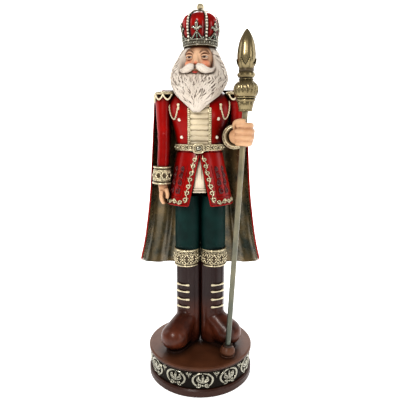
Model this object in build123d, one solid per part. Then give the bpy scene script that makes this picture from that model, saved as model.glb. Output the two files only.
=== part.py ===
from build123d import *
import math
import os

# ---------------------------------------------------------------------------
# Nutcracker king with a staff, standing on a round base.
# Millimetres. The origin is the middle of the base's underside, +Z is up and
# the figure faces -Y. Right and left are the figure's own: its right is -X.
# ---------------------------------------------------------------------------

TOTAL_HEIGHT = 914.0

# Base
BASE_R = 134.0
BASE_TOP = 78.0
PAD_THICK = 1.5
RECESS_R = 126.0
RECESS_LOW = 20.5
RECESS_HIGH = 66.5
CEILING_Z = 68.0
CAVITY_R = 113.0
COVER_R = 121.0
COVER_THICK = 3.3
COVER_SCREW_PCR = 117.0
BAND_THICK = 1.6
MEDALLION_COUNT = 12
MEDALLION_TURN = -87.4
MEDALLION_A = 25.5
MEDALLION_B = 20.0
RELIEF = 3.2
BALLAST_R = 104.0
BALLAST_TOP = 50.0

# Bracket on the rim
BRACKET_TURN = 54.0
BRACKET_PCR = 123.0
BRACKET_HALF = 11.0
BRACKET_TOP = 100.5
BRACKET_R = 1.8

# Tie rods
ROD_R = 4.0
ROD_X = 30.0
ROD_Y = 4.0
ROD_LOW = 53.0
ROD_HIGH = 250.0
ROD_GAP = 0.3

# Legs
SOLE_THICK = 5.0
LEG_X = 31.0
TOE_HEIGHT = 112.0
TOES = {"right": (64.0, -49.0), "left": (70.0, -24.5)}
TOE_SEMI = (36.0, 36.0, 35.0)
BOOT_TOP = 296.0
LACE_TURN = 27.0
LACE_HEIGHTS = (181.5, 202.0, 223.0, 241.0)
CUFF_LOW = 290.0
CUFF_HIGH = 334.0
TROUSER_TOP = 470.0
MIDDLE_GAP = 0.5

# Body
TORSO_X = -2.0
WAIST_Z = 576.0
BELT_TOP = 594.0
HEM_Z = 450.0
WAISTCOAT_HALF = 22.0
COAT_WALL = 7.0
SKIRT_WALL = 5.0
BELT_THICK = 5.0
BUCKLE_X = -4.0
BUTTONS = ((-48, 650), (-43, 610), (41, 652), (38, 610))
BELT_STUDS = (-62, -45, -28, 25, 40, 55, 70)

# Arms
SHOULDER_X = 86.0
SHOULDER_SEMI = (23, 25, 20)
ELBOW = (90, 14, 606)
EPAULETTE_X = 84.0
EPAULETTE_Z = 709.0
EPAULETTE_THICK = 6.0

# Head and crown
HEAD_X = -1.0
FACE_X = -7.0
HEAD_TURN = -11.0
CROWN_LOW = 815.0
CROWN_BAND_TOP = 829.0
CROWN_SEGMENTS = 6
FINIAL_R = 8.0

# Staff
STAFF_FOOT = Vector(66.4, -76.7, BASE_TOP)
STAFF_DIR = Vector(0.053, -0.026, 1.0).normalized()
POLE_R = 6.5
POLE_START = 6.0
POLE_END = 592.0
BUSH_R = 9.5
BUSH_TOP = 25.0
RUNNING_GAP = 0.45
FIST_HOLE_R = 7.1
HEAD_AXIS = (98.4, -92.0)

PARTS = {}
FLOOR_UP = (Align.CENTER, Align.CENTER, Align.MIN)


def add(name, shape):
    """Keep one finished piece under its node name."""
    PARTS[name] = shape


def disc(radius, low, high):
    return Pos(0, 0, low) * Cylinder(radius, high - low, align=FLOOR_UP)


def slab(x_range, y_range, z_range):
    """Box given by its ranges."""
    size = [high - low for low, high in (x_range, y_range, z_range)]
    corner = (x_range[0], y_range[0], z_range[0])
    return Pos(*corner) * Box(*size, align=(Align.MIN, Align.MIN, Align.MIN))


def ellipsoid(centre, semi):
    return Pos(*centre) * scale(Sphere(1), by=semi)


def oval_loft(sections, grow=0.0):
    """Smooth body through level ovals, each given as x, y, z and two half widths."""
    return loft([Pos(x, y, z) * Ellipse(a + grow, b + grow) for x, y, z, a, b in sections])


def turned(profile):
    """Body of revolution about Z from radius and height pairs."""
    outline = make_face(Plane.XZ * Polyline(*profile, close=True))
    return revolve(outline, Axis.Z)


def limb(start, end, start_r, end_r):
    """Round limb that tapers between two points, with a ball at each end."""
    start, end = Vector(*start), Vector(*end)
    along = end - start
    faces = [
        Plane(origin=start, z_dir=along) * Circle(start_r),
        Plane(origin=end, z_dir=along) * Circle(end_r),
    ]
    ends = [Pos(*start) * Sphere(start_r), Pos(*end) * Sphere(end_r)]
    return loft(faces) + ends


def cord(points, radius):
    """Round cord along a smooth line."""
    path = Spline(*points)
    return sweep(Plane(origin=path @ 0, z_dir=path % 0) * Circle(radius), path=path)


def mirrored(shape):
    return mirror(shape, about=Plane.YZ)


def around(shape, count, first=0.0):
    """Copies of a shape, evenly round the Z axis."""
    return [Rot(0, 0, first + 360 * k / count) * shape for k in range(count)]


def join(shapes):
    """Fuse a list of shapes."""
    total = shapes[0]
    for shape in shapes[1:]:
        total = total + shape
    return total


def group(shapes):
    """Separate solids that share one node."""
    solids = []
    for shape in shapes:
        solids.extend(shape.solids())
    return Compound(children=solids)


def on_staff(shape):
    """Put a shape made about +Z from height zero onto the staff's leaning axis."""
    return Plane(origin=STAFF_FOOT, z_dir=STAFF_DIR) * shape


def at_staff_head(shape):
    return Pos(HEAD_AXIS[0], HEAD_AXIS[1], 0) * shape


# ---------------------------------------------------------------------------
# Base
# ---------------------------------------------------------------------------

def screw_places():
    return [Rot(0, 0, 45 + 90 * k) * Pos(COVER_SCREW_PCR, 0, 0) for k in range(4)]


def base_drum():
    edge = 2.5
    profile = [
        (0, BASE_TOP),
        (BASE_R - 3, BASE_TOP),
        (BASE_R, BASE_TOP - edge),
        (BASE_R, 70),
        (BASE_R - 3, RECESS_HIGH),
        (RECESS_R, RECESS_HIGH),
        (RECESS_R, RECESS_LOW),
        (BASE_R - 3, RECESS_LOW),
        (BASE_R, 17),
        (BASE_R, 3.5),
        (BASE_R - 2, PAD_THICK),
        (COVER_R + 0.2, PAD_THICK),
        (COVER_R + 0.2, PAD_THICK + COVER_THICK),
        (CAVITY_R, PAD_THICK + COVER_THICK),
        (CAVITY_R, CEILING_Z - 6),
        (CAVITY_R - 6, CEILING_Z),
        (0, CEILING_Z),
    ]
    drum = turned(profile)
    drum -= [place * disc(2.0, 4, 18) for place in screw_places()]
    drum -= [Pos(side * ROD_X, ROD_Y, 0) * disc(ROD_R + ROD_GAP, 60, 80) for side in (-1, 1)]
    drum -= bracket_feet()
    return drum


def base_inside():
    cover = disc(COVER_R, PAD_THICK, PAD_THICK + COVER_THICK)
    heads = [place * (disc(3.6, PAD_THICK, 3.2) + disc(1.9, 3.2, 17)) for place in screw_places()]
    cover -= [place * (disc(3.8, 0, 3.2) + disc(2.1, 3.0, 6)) for place in screw_places()]
    add("base_felt_pad", disc(131, 0, PAD_THICK))
    add("base_cover_plate", cover)
    add("cover_screws", group(heads))
    add("ballast_block", disc(BALLAST_R, PAD_THICK + COVER_THICK, BALLAST_TOP))


def upright_on_rim(face, depth, radius):
    """Extrude a flat relief drawn in X and Z outwards from the base's side."""
    return Pos(0, -radius, 0) * extrude(Plane.XZ * face, depth)


def base_frieze():
    band_r = RECESS_R + BAND_THICK
    band = disc(band_r, RECESS_LOW, RECESS_HIGH) - disc(RECESS_R, RECESS_LOW, RECESS_HIGH)
    core = disc(band_r, 0, BASE_TOP)
    middle = (RECESS_LOW + RECESS_HIGH) / 2
    ring = Ellipse(MEDALLION_A, MEDALLION_B) - Ellipse(MEDALLION_A - 4, MEDALLION_B - 4)
    ring -= Pos(0, -MEDALLION_B) * Rectangle(9, 14)
    curls = [Pos(side * 7.5, -MEDALLION_B + 5.5) * Circle(4.2) for side in (-1, 1)]
    lily = Pos(0, 2) * Ellipse(3.2, 11) + Pos(0, -3) * Rectangle(13, 3.4)
    lily += [Pos(side * 7, 1) * Rot(0, 0, -28 * side) * Ellipse(3, 8.5) for side in (-1, 1)]
    lily += Pos(0, -9) * Ellipse(5.5, 5)
    face = ring + curls
    shell = disc(band_r + RELIEF, RECESS_LOW, RECESS_HIGH) - core
    block = Pos(0, 0, middle) * upright_on_rim(face + lily, 14, RECESS_R - 4)
    medallion = block & shell
    turn = MEDALLION_TURN + 90
    add("base_frieze_band", band)
    add("base_scroll_medallions", group(around(medallion, MEDALLION_COUNT, turn)))
    leaf = Ellipse(2.4, 7.5)
    leaf += [Pos(side * 2.5, 0.5) * Rot(0, 0, -32 * side) * Ellipse(2, 6.5) for side in (-1, 1)]
    block = Pos(0, 0, RECESS_HIGH - 9) * upright_on_rim(leaf, 14, RECESS_R - 4)
    half_step = 180 / MEDALLION_COUNT
    leaves = around(block & shell, MEDALLION_COUNT, turn + half_step)
    add("base_palmettes", group(leaves))


def tie_rods():
    rods, nuts, washers = [], [], []
    for side in (-1, 1):
        place = Pos(side * ROD_X, ROD_Y, 0)
        rods.append(place * disc(ROD_R, ROD_LOW, ROD_HIGH))
        bored = disc(ROD_R + ROD_GAP, ROD_LOW, BASE_TOP)
        washers.append(place * (disc(12, CEILING_Z - 2, CEILING_Z) - bored))
        hexagon = Pos(0, 0, CEILING_Z - 8.8) * extrude(RegularPolygon(7.5, 6), 6.8)
        nuts.append(place * (hexagon - disc(ROD_R, ROD_LOW, BASE_TOP)))
    add("tie_rods", group(rods))
    add("tie_rod_nuts", group(nuts))
    add("tie_rod_washers", group(washers))


def bracket_place():
    """Middle of the bracket: on the base's rim, behind the left boot."""
    return Rot(0, 0, BRACKET_TURN) * Pos(BRACKET_PCR, 0, 0)


def bracket_feet():
    """The two legs of the bracket, as deep as they stand in the base."""
    legs = [Pos(0, side * BRACKET_HALF, 0) * disc(BRACKET_R, 70, BRACKET_TOP) for side in (-1, 1)]
    return bracket_place() * join(legs)


def tether_bracket():
    """Staple of round bar that a cable or a strap can pass through."""
    half = BRACKET_HALF + BRACKET_R
    bar = slab((-BRACKET_R, BRACKET_R), (-half, half), (BRACKET_TOP - BRACKET_R, BRACKET_TOP + BRACKET_R))
    add("tether_bracket", bracket_feet() + bracket_place() * bar)


def staff_boss():
    dome = [(0, BASE_TOP), (17.5, BASE_TOP), (17.8, 80), (16.4, 82), (18.8, 87)]
    dome += [(18.6, 93), (15.8, 98.5), (12.5, 103), (0, 103)]
    boss = Pos(STAFF_FOOT.X + 0.6, STAFF_FOOT.Y - 0.3, 0) * turned(dome)
    bore = on_staff(disc(BUSH_R + RUNNING_GAP, 2.4, 60))
    add("staff_boss", boss - bore)


# ---------------------------------------------------------------------------
# Legs (made for the left side, the right is its mirror image)
# ---------------------------------------------------------------------------

SHAFT = [
    (LEG_X, 0, 84, 23, 30),
    (LEG_X, -2, 120, 27, 31),
    (LEG_X, 0, 158, 27, 29),
    (LEG_X - 1, 1, 200, 28, 29),
    (LEG_X - 1, 1, 250, 28.8, 30),
    (LEG_X - 1, 1, BOOT_TOP, 28.2, 29),
]
TROUSER = [
    (LEG_X, 0, BOOT_TOP, 27, 28),
    (LEG_X, 0, CUFF_HIGH, 29.6, 30.5),
    (LEG_X, 0, 400, 30.4, 32),
    (LEG_X, 0, TROUSER_TOP, 30.4, 33),
]


def boot(toe):
    """Boot and its sole, with the toe at the given X and Y."""
    sole_top = BASE_TOP + SOLE_THICK
    instep = ellipsoid((0.5 * (LEG_X + toe[0]) - 2, 0.5 * toe[1] + 1, 130), (30, 31, 34))
    upper = oval_loft(SHAFT) + ellipsoid((toe[0], toe[1], TOE_HEIGHT), TOE_SEMI) + instep
    upper = upper & slab((MIDDLE_GAP, 130), (-120, 80), (sole_top, 320))
    rod_hole = Pos(ROD_X, ROD_Y, 0) * disc(ROD_R + ROD_GAP, 70, ROD_HIGH + 3)
    ball = Pos(toe[0] - 1, toe[1] + 1) * Circle(23)
    heel = Pos(LEG_X, 3) * Circle(25)
    sole = Pos(0, 0, BASE_TOP) * extrude(make_hull(ball.edges() + heel.edges()), SOLE_THICK)
    return upper - rod_hole, sole - rod_hole


def laces(upper):
    """Lace bars over the front of the shaft, towards the toe."""
    turn = math.radians(LACE_TURN)
    front_x = LEG_X - 1 + 28 * math.sin(turn)
    front_y = 1 - 29 * math.cos(turn)
    bar = Rot(0, 0, LACE_TURN) * ellipsoid((0, 0, 0), (14, 4.5, 2.6))
    return [Pos(front_x, front_y, z) * bar - upper for z in LACE_HEIGHTS]


def legs():
    cuff_space = slab((MIDDLE_GAP, 90), (-60, 60), (CUFF_LOW, CUFF_HIGH))
    trouser = oval_loft(TROUSER) & slab((MIDDLE_GAP, 90), (-60, 60), (BOOT_TOP, TROUSER_TOP))
    bulge = [
        (LEG_X + 2.4, 0, CUFF_LOW, 31.5, 34),
        (LEG_X + 2.4, 0, CUFF_LOW + 9, 32.9, 36),
        (LEG_X + 2.4, 0, CUFF_HIGH - 9, 32.9, 36),
        (LEG_X + 2.4, 0, CUFF_HIGH, 31.5, 34),
    ]
    lace_bars = []
    for side, toe in TOES.items():
        upper, sole = boot(toe)
        cuff = (oval_loft(bulge) & cuff_space) - upper - trouser
        pieces = {"boot_sole": sole, "boot": upper, "knee_cuff": cuff, "trouser_leg": trouser}
        bars = laces(upper)
        if side == "right":
            pieces = {name: mirrored(shape) for name, shape in pieces.items()}
            bars = [mirrored(bar) for bar in bars]
        for name, shape in pieces.items():
            add(f"{side}_{name}", shape)
        lace_bars += bars
    add("boot_laces", group(lace_bars))


# ---------------------------------------------------------------------------
# Body
# ---------------------------------------------------------------------------

TORSO = [
    (TORSO_X, 1, WAIST_Z, 55, 49),
    (TORSO_X, 0, 605, 58, 52),
    (TORSO_X, -1, 645, 67, 57),
    (TORSO_X, 1, 682, 75, 55),
    (TORSO_X, 4, 706, 68, 44),
    (TORSO_X, 8, 722, 42, 32),
]
SKIRT = [
    (TORSO_X, 0, HEM_Z, 82, 69),
    (TORSO_X, 0, 495, 73, 63),
    (TORSO_X, 0, 540, 63, 56),
    (TORSO_X, 1, WAIST_Z, 55.5, 49.5),
]
RIGHT_ARM = [
    (-90, -14, 538, 15.5, 17),
    (-87, -8, 600, 16, 19),
    (-87, -3, 660, 19, 23),
    (-86, 0, 705, 22, 24),
]


def strip(x_range, z_range):
    """Region in front of the body between two X and two Z values."""
    return slab(x_range, (-120, -20), z_range)


def buckle():
    """Open frame with a domed stone on a cross bar, standing on the belt."""
    front = -62.0
    middle = (WAIST_Z + BELT_TOP) / 2
    frame = RectangleRounded(27, 22, 6) - RectangleRounded(19, 14, 4)
    plate = Pos(BUCKLE_X, front + 6, middle) * extrude(Plane.XZ * frame, 6)
    stone = ellipsoid((BUCKLE_X, front + 1.8, middle), (7.5, 4, 5.5))
    bar = Pos(BUCKLE_X, front + 3.5, middle) * Box(21, 4, 3)
    return plate + stone + bar


def belt_ovals():
    """Low oval studs that stand on the belt's face."""
    middle = (WAIST_Z + BELT_TOP) / 2
    ovals = []
    for degrees in BELT_STUDS:
        turn = math.radians(degrees)
        normal = Vector(math.sin(turn) / 61, -math.cos(turn) / 55.3, 0)
        at = Vector(TORSO_X + 61 * math.sin(turn), 0.7 - 55.3 * math.cos(turn), middle)
        face = Plane(origin=at - normal.normalized() * 2, x_dir=(0, 0, 1), z_dir=normal)
        ovals.append(face * extrude(Ellipse(6.5, 5.5), 4.2))
    return ovals


def torso():
    outer = oval_loft(TORSO)
    inner = oval_loft([(x, y, z, a - COAT_WALL, b - COAT_WALL) for x, y, z, a, b in TORSO])
    hollow = inner & slab((-90, 90), (-90, 90), (WAIST_Z + 8, 700))
    opening = strip((TORSO_X - WAISTCOAT_HALF, TORSO_X + WAISTCOAT_HALF), (WAIST_Z, 700))
    waistcoat = (outer - hollow) & opening
    coat = outer - hollow - opening
    grown = oval_loft(TORSO, 2.6) - outer
    trims = []
    for side in (-1, 1):
        edge = TORSO_X + side * (WAISTCOAT_HALF + 1.5)
        trims.append(grown & strip((edge - 2.2, edge + 2.2), (BELT_TOP + 0.5, 672)))
    belt_outer = oval_loft(TORSO, BELT_THICK)
    belt = (belt_outer - outer) & slab((-90, 90), (-90, 90), (WAIST_Z + 3, BELT_TOP))
    add("coat_body", coat)
    add("waistcoat_front", waistcoat)
    add("lapel_trims", group(trims))
    add("belt", belt)
    add("belt_buckle", buckle())
    add("belt_medallions", group([oval - belt_outer for oval in belt_ovals()]))
    buttons = []
    for x, z in BUTTONS:
        y = -56 * math.sqrt(1 - ((x - TORSO_X) / 66) ** 2)
        buttons.append(ellipsoid((x, y, z), (3.6, 5, 3.6)) - outer)
    add("coat_buttons", group(buttons))
    cords = []
    for side in (-1, 1):
        points = []
        for reach, z in ((69, 690), (66, 668), (60, 655), (52, 665), (48, 684)):
            x = side * reach
            y = -1 - 57 * math.sqrt(max(0.02, 1 - (x / 74) ** 2))
            points.append((TORSO_X + x, y, z))
        cords.append(cord(points, 2.2) - outer)
    add("chest_cords", group(cords))
    return outer


def skirt(hand):
    outer = oval_loft(SKIRT)
    inner = oval_loft(SKIRT, -SKIRT_WALL)
    shell = outer - inner
    notch = extrude(Plane.XZ * make_face(Polyline(
        (TORSO_X - 27, HEM_Z - 5), (TORSO_X + 27, HEM_Z - 5), (TORSO_X + 1, WAIST_Z - 6),
        (TORSO_X - 1, WAIST_Z - 6), close=True)), 120)
    shell = shell - notch
    shell = shell - slab((TORSO_X - 0.2, TORSO_X + 0.2), (-120, 120), (HEM_Z - 5, WAIST_Z + 5))
    grown = oval_loft(SKIRT, 1.8) - outer
    hem = grown & slab((-120, 120), (-120, 120), (HEM_Z, HEM_Z + 9))
    hem = hem - slab((-27.5, 23.5), (-120, 0), (HEM_Z - 5, HEM_Z + 20))
    wide = extrude(Plane.XZ * make_face(Polyline(
        (TORSO_X - 34, HEM_Z), (TORSO_X + 34, HEM_Z), (TORSO_X + 6, WAIST_Z - 8),
        (TORSO_X - 6, WAIST_Z - 8), close=True)), 120)
    edges = (grown & wide) - notch
    trim = (hem + edges) - hand
    shell = shell - hand
    add("left_skirt_panel", shell & slab((TORSO_X, 120), (-120, 120), (HEM_Z, WAIST_Z)))
    add("right_skirt_panel", shell & slab((-120, TORSO_X), (-120, 120), (HEM_Z, WAIST_Z)))
    add("skirt_scroll_trim", group([trim]))
    tail = inner & extrude(Plane.XZ * make_face(Polyline(
        (TORSO_X - 18, 481), (TORSO_X + 18, 481), (TORSO_X + 3, WAIST_Z - 1),
        (TORSO_X - 3, WAIST_Z - 1), close=True)), 120)
    tail = tail - oval_loft(SKIRT, -SKIRT_WALL - 5)
    add("shirt_tail", tail)


def shoulder(side):
    return ellipsoid((side * SHOULDER_X, 0, 692), SHOULDER_SEMI)


def right_arm(torso_outer, skirt_outer):
    sleeve = (oval_loft(RIGHT_ARM) + shoulder(-1)) - torso_outer
    cuff_outer = oval_loft([(-93, -16, 498, 23, 22), (-93, -16, 519, 22, 21.5), (-92, -15, 540, 20.5, 21)])
    hand = ellipsoid((-90, -22, 474), (14.5, 19, 28)) + disc(13, 0, 30).moved(Location((-91, -18, 482)))
    hand = hand & slab((-140, 0), (-80, 60), (440, 512))
    add("right_sleeve", sleeve)
    add("right_cuff", cuff_outer - hand - sleeve - skirt_outer)
    add("right_hand", hand)


def left_hand():
    """Fist with four fingers and a thumb, bored for the staff."""
    fist = ellipsoid((92, -84, 617), (22, 18, 25)) + limb((80, -58, 612), (86, -74, 615), 15, 16)
    fingers = []
    for k in range(4):
        z = 617 + (k - 1.5) * 12.4
        fingers.append(ellipsoid((94, -97, z), (24.5, 15, 7.4)))
    thumb = limb((74, -82, 640), (88, -104, 643), 7, 6.5)
    fist = fist + join(fingers) + thumb
    fist = fist & slab((60, 130), (-130, -50), (590, 652))
    return fist - on_staff(disc(FIST_HOLE_R, 400, 700))


def left_arm(torso_outer):
    fist = left_hand()
    upper = limb((88, -1, 690), ELBOW, 22, 18)
    fore = limb(ELBOW, (81, -40, 611), 18, 17)
    sleeve = (upper + fore + shoulder(1)) - torso_outer - fist
    wrist = Vector(80.25, -32, 610.75)
    mouth = Vector(79, -62, 612)
    cuff = loft([
        Plane(origin=wrist, z_dir=mouth - wrist) * Circle(23),
        Plane(origin=mouth, z_dir=mouth - wrist) * Circle(26),
    ])
    add("left_fist", fist)
    add("left_sleeve", sleeve)
    add("left_cuff", cuff - fist - sleeve - torso_outer)


def largest(shape):
    return shape.solids().sort_by(SortBy.VOLUME)[-1]


def epaulettes(torso_outer):
    """Flat shoulder plates with a low band of cord below the rim."""
    for side, hand in ((-1, "right"), (1, "left")):
        place = Pos(side * EPAULETTE_X, -4, EPAULETTE_Z)
        plate = place * extrude(Ellipse(24, 27), EPAULETTE_THICK)
        band = place * Pos(0, 0, -7) * extrude(Ellipse(25.5, 28.5) - Ellipse(22.5, 25.5), 9)
        add(f"{hand}_epaulette", largest((plate + band) - torso_outer - PARTS[f"{hand}_sleeve"]))


CAPE = [
    (0, 30, 240, 168, 92),
    (0, 27, 300, 157, 86),
    (0, 25, 340, 147.5, 80),
    (0, 22, 395, 138, 73),
    (0, 20, 476, 128, 67),
    (0, 20, 577, 121, 62),
    (0, 18, 660, 115, 56),
    (0, 16, 704, 110, 50),
    (0, 14, 722, 92, 42),
]
CAPE_WALL = 4.5


def cape(solids_in_front):
    shell = oval_loft(CAPE) - oval_loft(CAPE, -CAPE_WALL)
    lid = oval_loft([(0, 14, 716, 95, 43), (0, 14, 722, 91, 41)])
    front = slab((-200, 200), (-120, 12), (200, 760))
    hem = Pos(0, 15, 297) * Rot(-24, 0, 0) * Box(420, 420, 200, align=(Align.CENTER, Align.CENTER, Align.MAX))
    shell = (shell + lid) - front - hem
    for solid in solids_in_front:
        shell = shell - solid
    add("cape", largest(shell))


# ---------------------------------------------------------------------------
# Head and crown
# ---------------------------------------------------------------------------

BEARD = [
    (-9, -68, 668, 5, 5),
    (-8, -58, 688, 26, 20),
    (-6, -32, 712, 46, 42),
    (-3, -12, 742, 65, 54),
    (-3, -2, 768, 62, 52),
    (-2, 5, 795, 48, 45),
    (-1, 8, CROWN_LOW, 38, 37),
]


def head(torso_outer, sleeves):
    skull = ellipsoid((HEAD_X - 2, -2, 783), (38, 42, 46)) + disc(24, 0, 60).moved(Location((0, 4, 700)))
    skull += ellipsoid((FACE_X, -45, 775), (7, 9, 8))
    skull += [ellipsoid((FACE_X + side * 20, -32, 774), (10, 10, 9)) for side in (-1, 1)]
    skull = (skull & disc(120, 690, CROWN_LOW)) - torso_outer
    face_hole = Pos(FACE_X, -8, 788) * Rot(90, 0, 0) * Cylinder(34, 90, align=FLOOR_UP)
    beard = oval_loft(BEARD) - skull - face_hole - torso_outer
    for sleeve in sleeves:
        beard = beard - sleeve
    beard = largest(beard)
    lobes = join([ellipsoid((FACE_X + side * 17, -45, 762), (21, 11, 8.5)) for side in (-1, 1)])
    add("head", skull)
    add("beard", beard)
    add("moustache", largest(lobes - skull - beard))


def crown():
    band = turned([(36, CROWN_LOW), (39, CROWN_LOW), (41.5, CROWN_BAND_TOP), (36, CROWN_BAND_TOP)])
    first = HEAD_TURN - 90
    lobe = ellipsoid((25, 0, 853), (19.5, 21, 38))
    cap = join(around(lobe, CROWN_SEGMENTS, first)) + disc(30, CROWN_LOW, 886)
    cap = cap & disc(60, CROWN_LOW, 893)
    outer_line = Spline((40.5, 829), (45, 850), (45.5, 868), (38, 885), (18, 894), (5, 895))
    inner_line = Spline((5, 890), (17, 889), (34, 880), (40.5, 866), (40.5, 850), (37, 829))
    ends = Line((5, 895), (5, 890)) + Line((37, 829), (40.5, 829))
    rib_face = make_face(Plane.XZ * (outer_line + inner_line + ends))
    rib = Pos(0, 2.6, 0) * extrude(rib_face, 5.2)
    arches = join(around(rib, CROWN_SEGMENTS, first + 30)) + disc(8, 888, 897)
    lily = Pos(0, 18) * Ellipse(3.6, 8) + Pos(0, 8) * Rectangle(17, 3.6) + Pos(0, 4) * Rectangle(5, 14)
    lily += [Pos(side * 8, 9) * Ellipse(3.2, 4.4) for side in (-1, 1)]
    lily += make_face(Polyline((-13, -16), (13, -16), (2.5, 2), (-2.5, 2), close=True))
    point = Pos(0, -41, 845) * extrude(Plane.XZ * lily, 4.5)
    point = Rot(0, 0, 90) * point
    points = around(point, CROWN_SEGMENTS, first)
    points = [place - band - arches for place in points]
    cap = cap - band - arches
    for place in points:
        cap = cap - place
    finial = Pos(0, 0, TOTAL_HEIGHT - FINIAL_R) * Sphere(FINIAL_R) + disc(4, 895, 902)
    add("crown_band", band)
    add("crown_cap", cap)
    add("crown_arches", arches)
    add("crown_points", group(points))
    add("crown_finial", finial - arches)


# ---------------------------------------------------------------------------
# Staff
# ---------------------------------------------------------------------------

def staff():
    bush = disc(BUSH_R, 3.1, BUSH_TOP + 4) + disc(11.5, BUSH_TOP + 1.5, BUSH_TOP + 4)
    bush -= disc(POLE_R + RUNNING_GAP, POLE_START - 0.4, 60)
    add("staff_bush", on_staff(bush))
    end_cap = disc(POLE_R, POLE_START, POLE_START + 14)
    end_cap -= disc(POLE_R - 2, POLE_START + 4, POLE_START + 14)
    pole = disc(POLE_R, POLE_START + 14, POLE_END) + disc(POLE_R - 2, POLE_START + 4, POLE_START + 15)
    pole = on_staff(pole)
    cup = [(0, 666), (14.2, 666), (15, 669), (19, 684), (20.5, 687), (21.2, 690), (19.5, 693), (0, 693)]
    cup = at_staff_head(turned(cup))
    pole = pole - slab((60, 140), (-130, -50), (690, 760))
    cup = cup - pole
    knop = [(0, 693), (18, 693), (24.5, 699), (27.6, 708), (27.8, 715), (25, 723), (18.5, 730), (14.5, 733)]
    knop = at_staff_head(turned(knop + [(14.5, 737), (0, 737)]))
    ring = [(0, 737), (16.5, 737), (19.4, 741), (19.4, 745), (16.5, 749), (13.8, 751), (0, 751)]
    petals = [(0, 751), (14.2, 751), (15.2, 757), (18.5, 763), (20.8, 771), (19.4, 772.5), (0, 768)]
    flame = make_face(
        Plane.XZ
        * (
            Spline((19.2, 772.5), (20.4, 785), (17, 808), (8.5, 830), (0, 838))
            + Line((0, 838), (0, 768.2))
            + Line((0, 768.2), (19.2, 772.5))
        )
    )
    add("staff_end_cap", on_staff(end_cap))
    add("staff_pole", pole)
    add("staff_cup", cup)
    add("staff_knop", knop)
    add("staff_ring", at_staff_head(turned(ring)))
    petal_cup = at_staff_head(turned(petals))
    add("staff_petals", petal_cup)
    add("staff_flame", at_staff_head(revolve(flame, Axis.Z)) - petal_cup)


def build():
    add("base_drum", base_drum())
    base_inside()
    base_frieze()
    tie_rods()
    tether_bracket()
    staff_boss()
    legs()
    torso_outer = torso()
    skirt_outer = oval_loft(SKIRT)
    right_arm(torso_outer, skirt_outer)
    left_arm(torso_outer)
    epaulettes(torso_outer)
    skirt(PARTS["right_hand"])
    head(torso_outer, [PARTS["right_sleeve"], PARTS["left_sleeve"]])
    crown()
    cape([
        torso_outer,
        PARTS["right_sleeve"],
        PARTS["left_sleeve"],
        PARTS["right_epaulette"],
        PARTS["left_epaulette"],
        PARTS["beard"],
        PARTS["head"],
    ])
    staff()


build()
os.makedirs("parts", exist_ok=True)
for node_name, node_shape in PARTS.items():
    export_step(node_shape, f"parts/{node_name}.step")
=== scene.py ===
import math
import random

import bmesh
import bpy
from mathutils import Matrix, Vector
from mathutils.bvhtree import BVHTree


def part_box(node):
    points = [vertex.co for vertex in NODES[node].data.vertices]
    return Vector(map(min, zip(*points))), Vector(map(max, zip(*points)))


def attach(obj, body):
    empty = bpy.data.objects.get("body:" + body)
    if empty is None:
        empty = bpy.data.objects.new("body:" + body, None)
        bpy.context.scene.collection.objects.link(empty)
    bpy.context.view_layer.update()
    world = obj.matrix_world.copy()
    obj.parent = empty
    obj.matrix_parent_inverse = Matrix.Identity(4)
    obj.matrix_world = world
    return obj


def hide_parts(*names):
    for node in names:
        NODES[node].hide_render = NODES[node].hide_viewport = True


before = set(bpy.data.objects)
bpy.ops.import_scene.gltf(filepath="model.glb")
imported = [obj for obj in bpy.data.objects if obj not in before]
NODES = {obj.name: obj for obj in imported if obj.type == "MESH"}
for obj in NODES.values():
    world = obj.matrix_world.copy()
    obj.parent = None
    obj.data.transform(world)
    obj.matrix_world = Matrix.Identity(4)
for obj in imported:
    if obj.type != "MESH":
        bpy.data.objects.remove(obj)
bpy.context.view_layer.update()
random.seed(11)

# Sizes below are in millimetres and are made metres when a mesh is built.
MM = 0.001


def span(node):
    """Lowest and highest corner of a CAD node in millimetres."""
    low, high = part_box(node)
    return Vector(low) / MM, Vector(high) / MM


def middle(node):
    """Centre of a CAD node in millimetres."""
    low, high = span(node)
    return (low + high) / 2


def clamp(value):
    """The value held between 0 and 1."""
    return max(0.0, min(1.0, value))


def steps(low, high, count):
    """Evenly spaced values with both ends included."""
    return [low + (high - low) * i / (count - 1) for i in range(count)]


def turns(count):
    """Evenly spaced angles once round, without the last one."""
    return [2 * math.pi * k / count for k in range(count)]


def circle(radius, z, count=60, centre=(0, 0)):
    """Level ring of points that ends where it starts."""
    return [Vector((centre[0] + radius * math.cos(a), centre[1] + radius * math.sin(a), z))
            for a in turns(count) + [2 * math.pi]]


def spoke(angle):
    """Level directions outwards and across at an angle about the upright axis."""
    return Vector((math.cos(angle), math.sin(angle), 0)), Vector((-math.sin(angle), math.cos(angle), 0))


# ---------------------------------------------------------------------------
# Mesh building
# ---------------------------------------------------------------------------

def smooth_line(points, count):
    """Points resampled along a smooth curve through the given ones."""
    pts = [Vector(p) for p in points]
    ends = [pts[0] * 2 - pts[1]] + pts + [pts[-1] * 2 - pts[-2]]
    line = []
    for i in range(count):
        t = i / (count - 1) * (len(pts) - 1)
        k = min(int(t), len(pts) - 2)
        u = t - k
        a, b, c, d = ends[k:k + 4]
        line.append(0.5 * (2 * b + (c - a) * u + (2 * a - 5 * b + 4 * c - d) * u * u
                           + (3 * b - a - 3 * c + d) * u ** 3))
    return line


def ramp(values, t):
    """Value at t, 0 to 1, along an evenly spaced list."""
    x = clamp(t) * (len(values) - 1)
    k = min(int(x), len(values) - 2)
    return values[k] + (values[k + 1] - values[k]) * (x - k)


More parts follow.
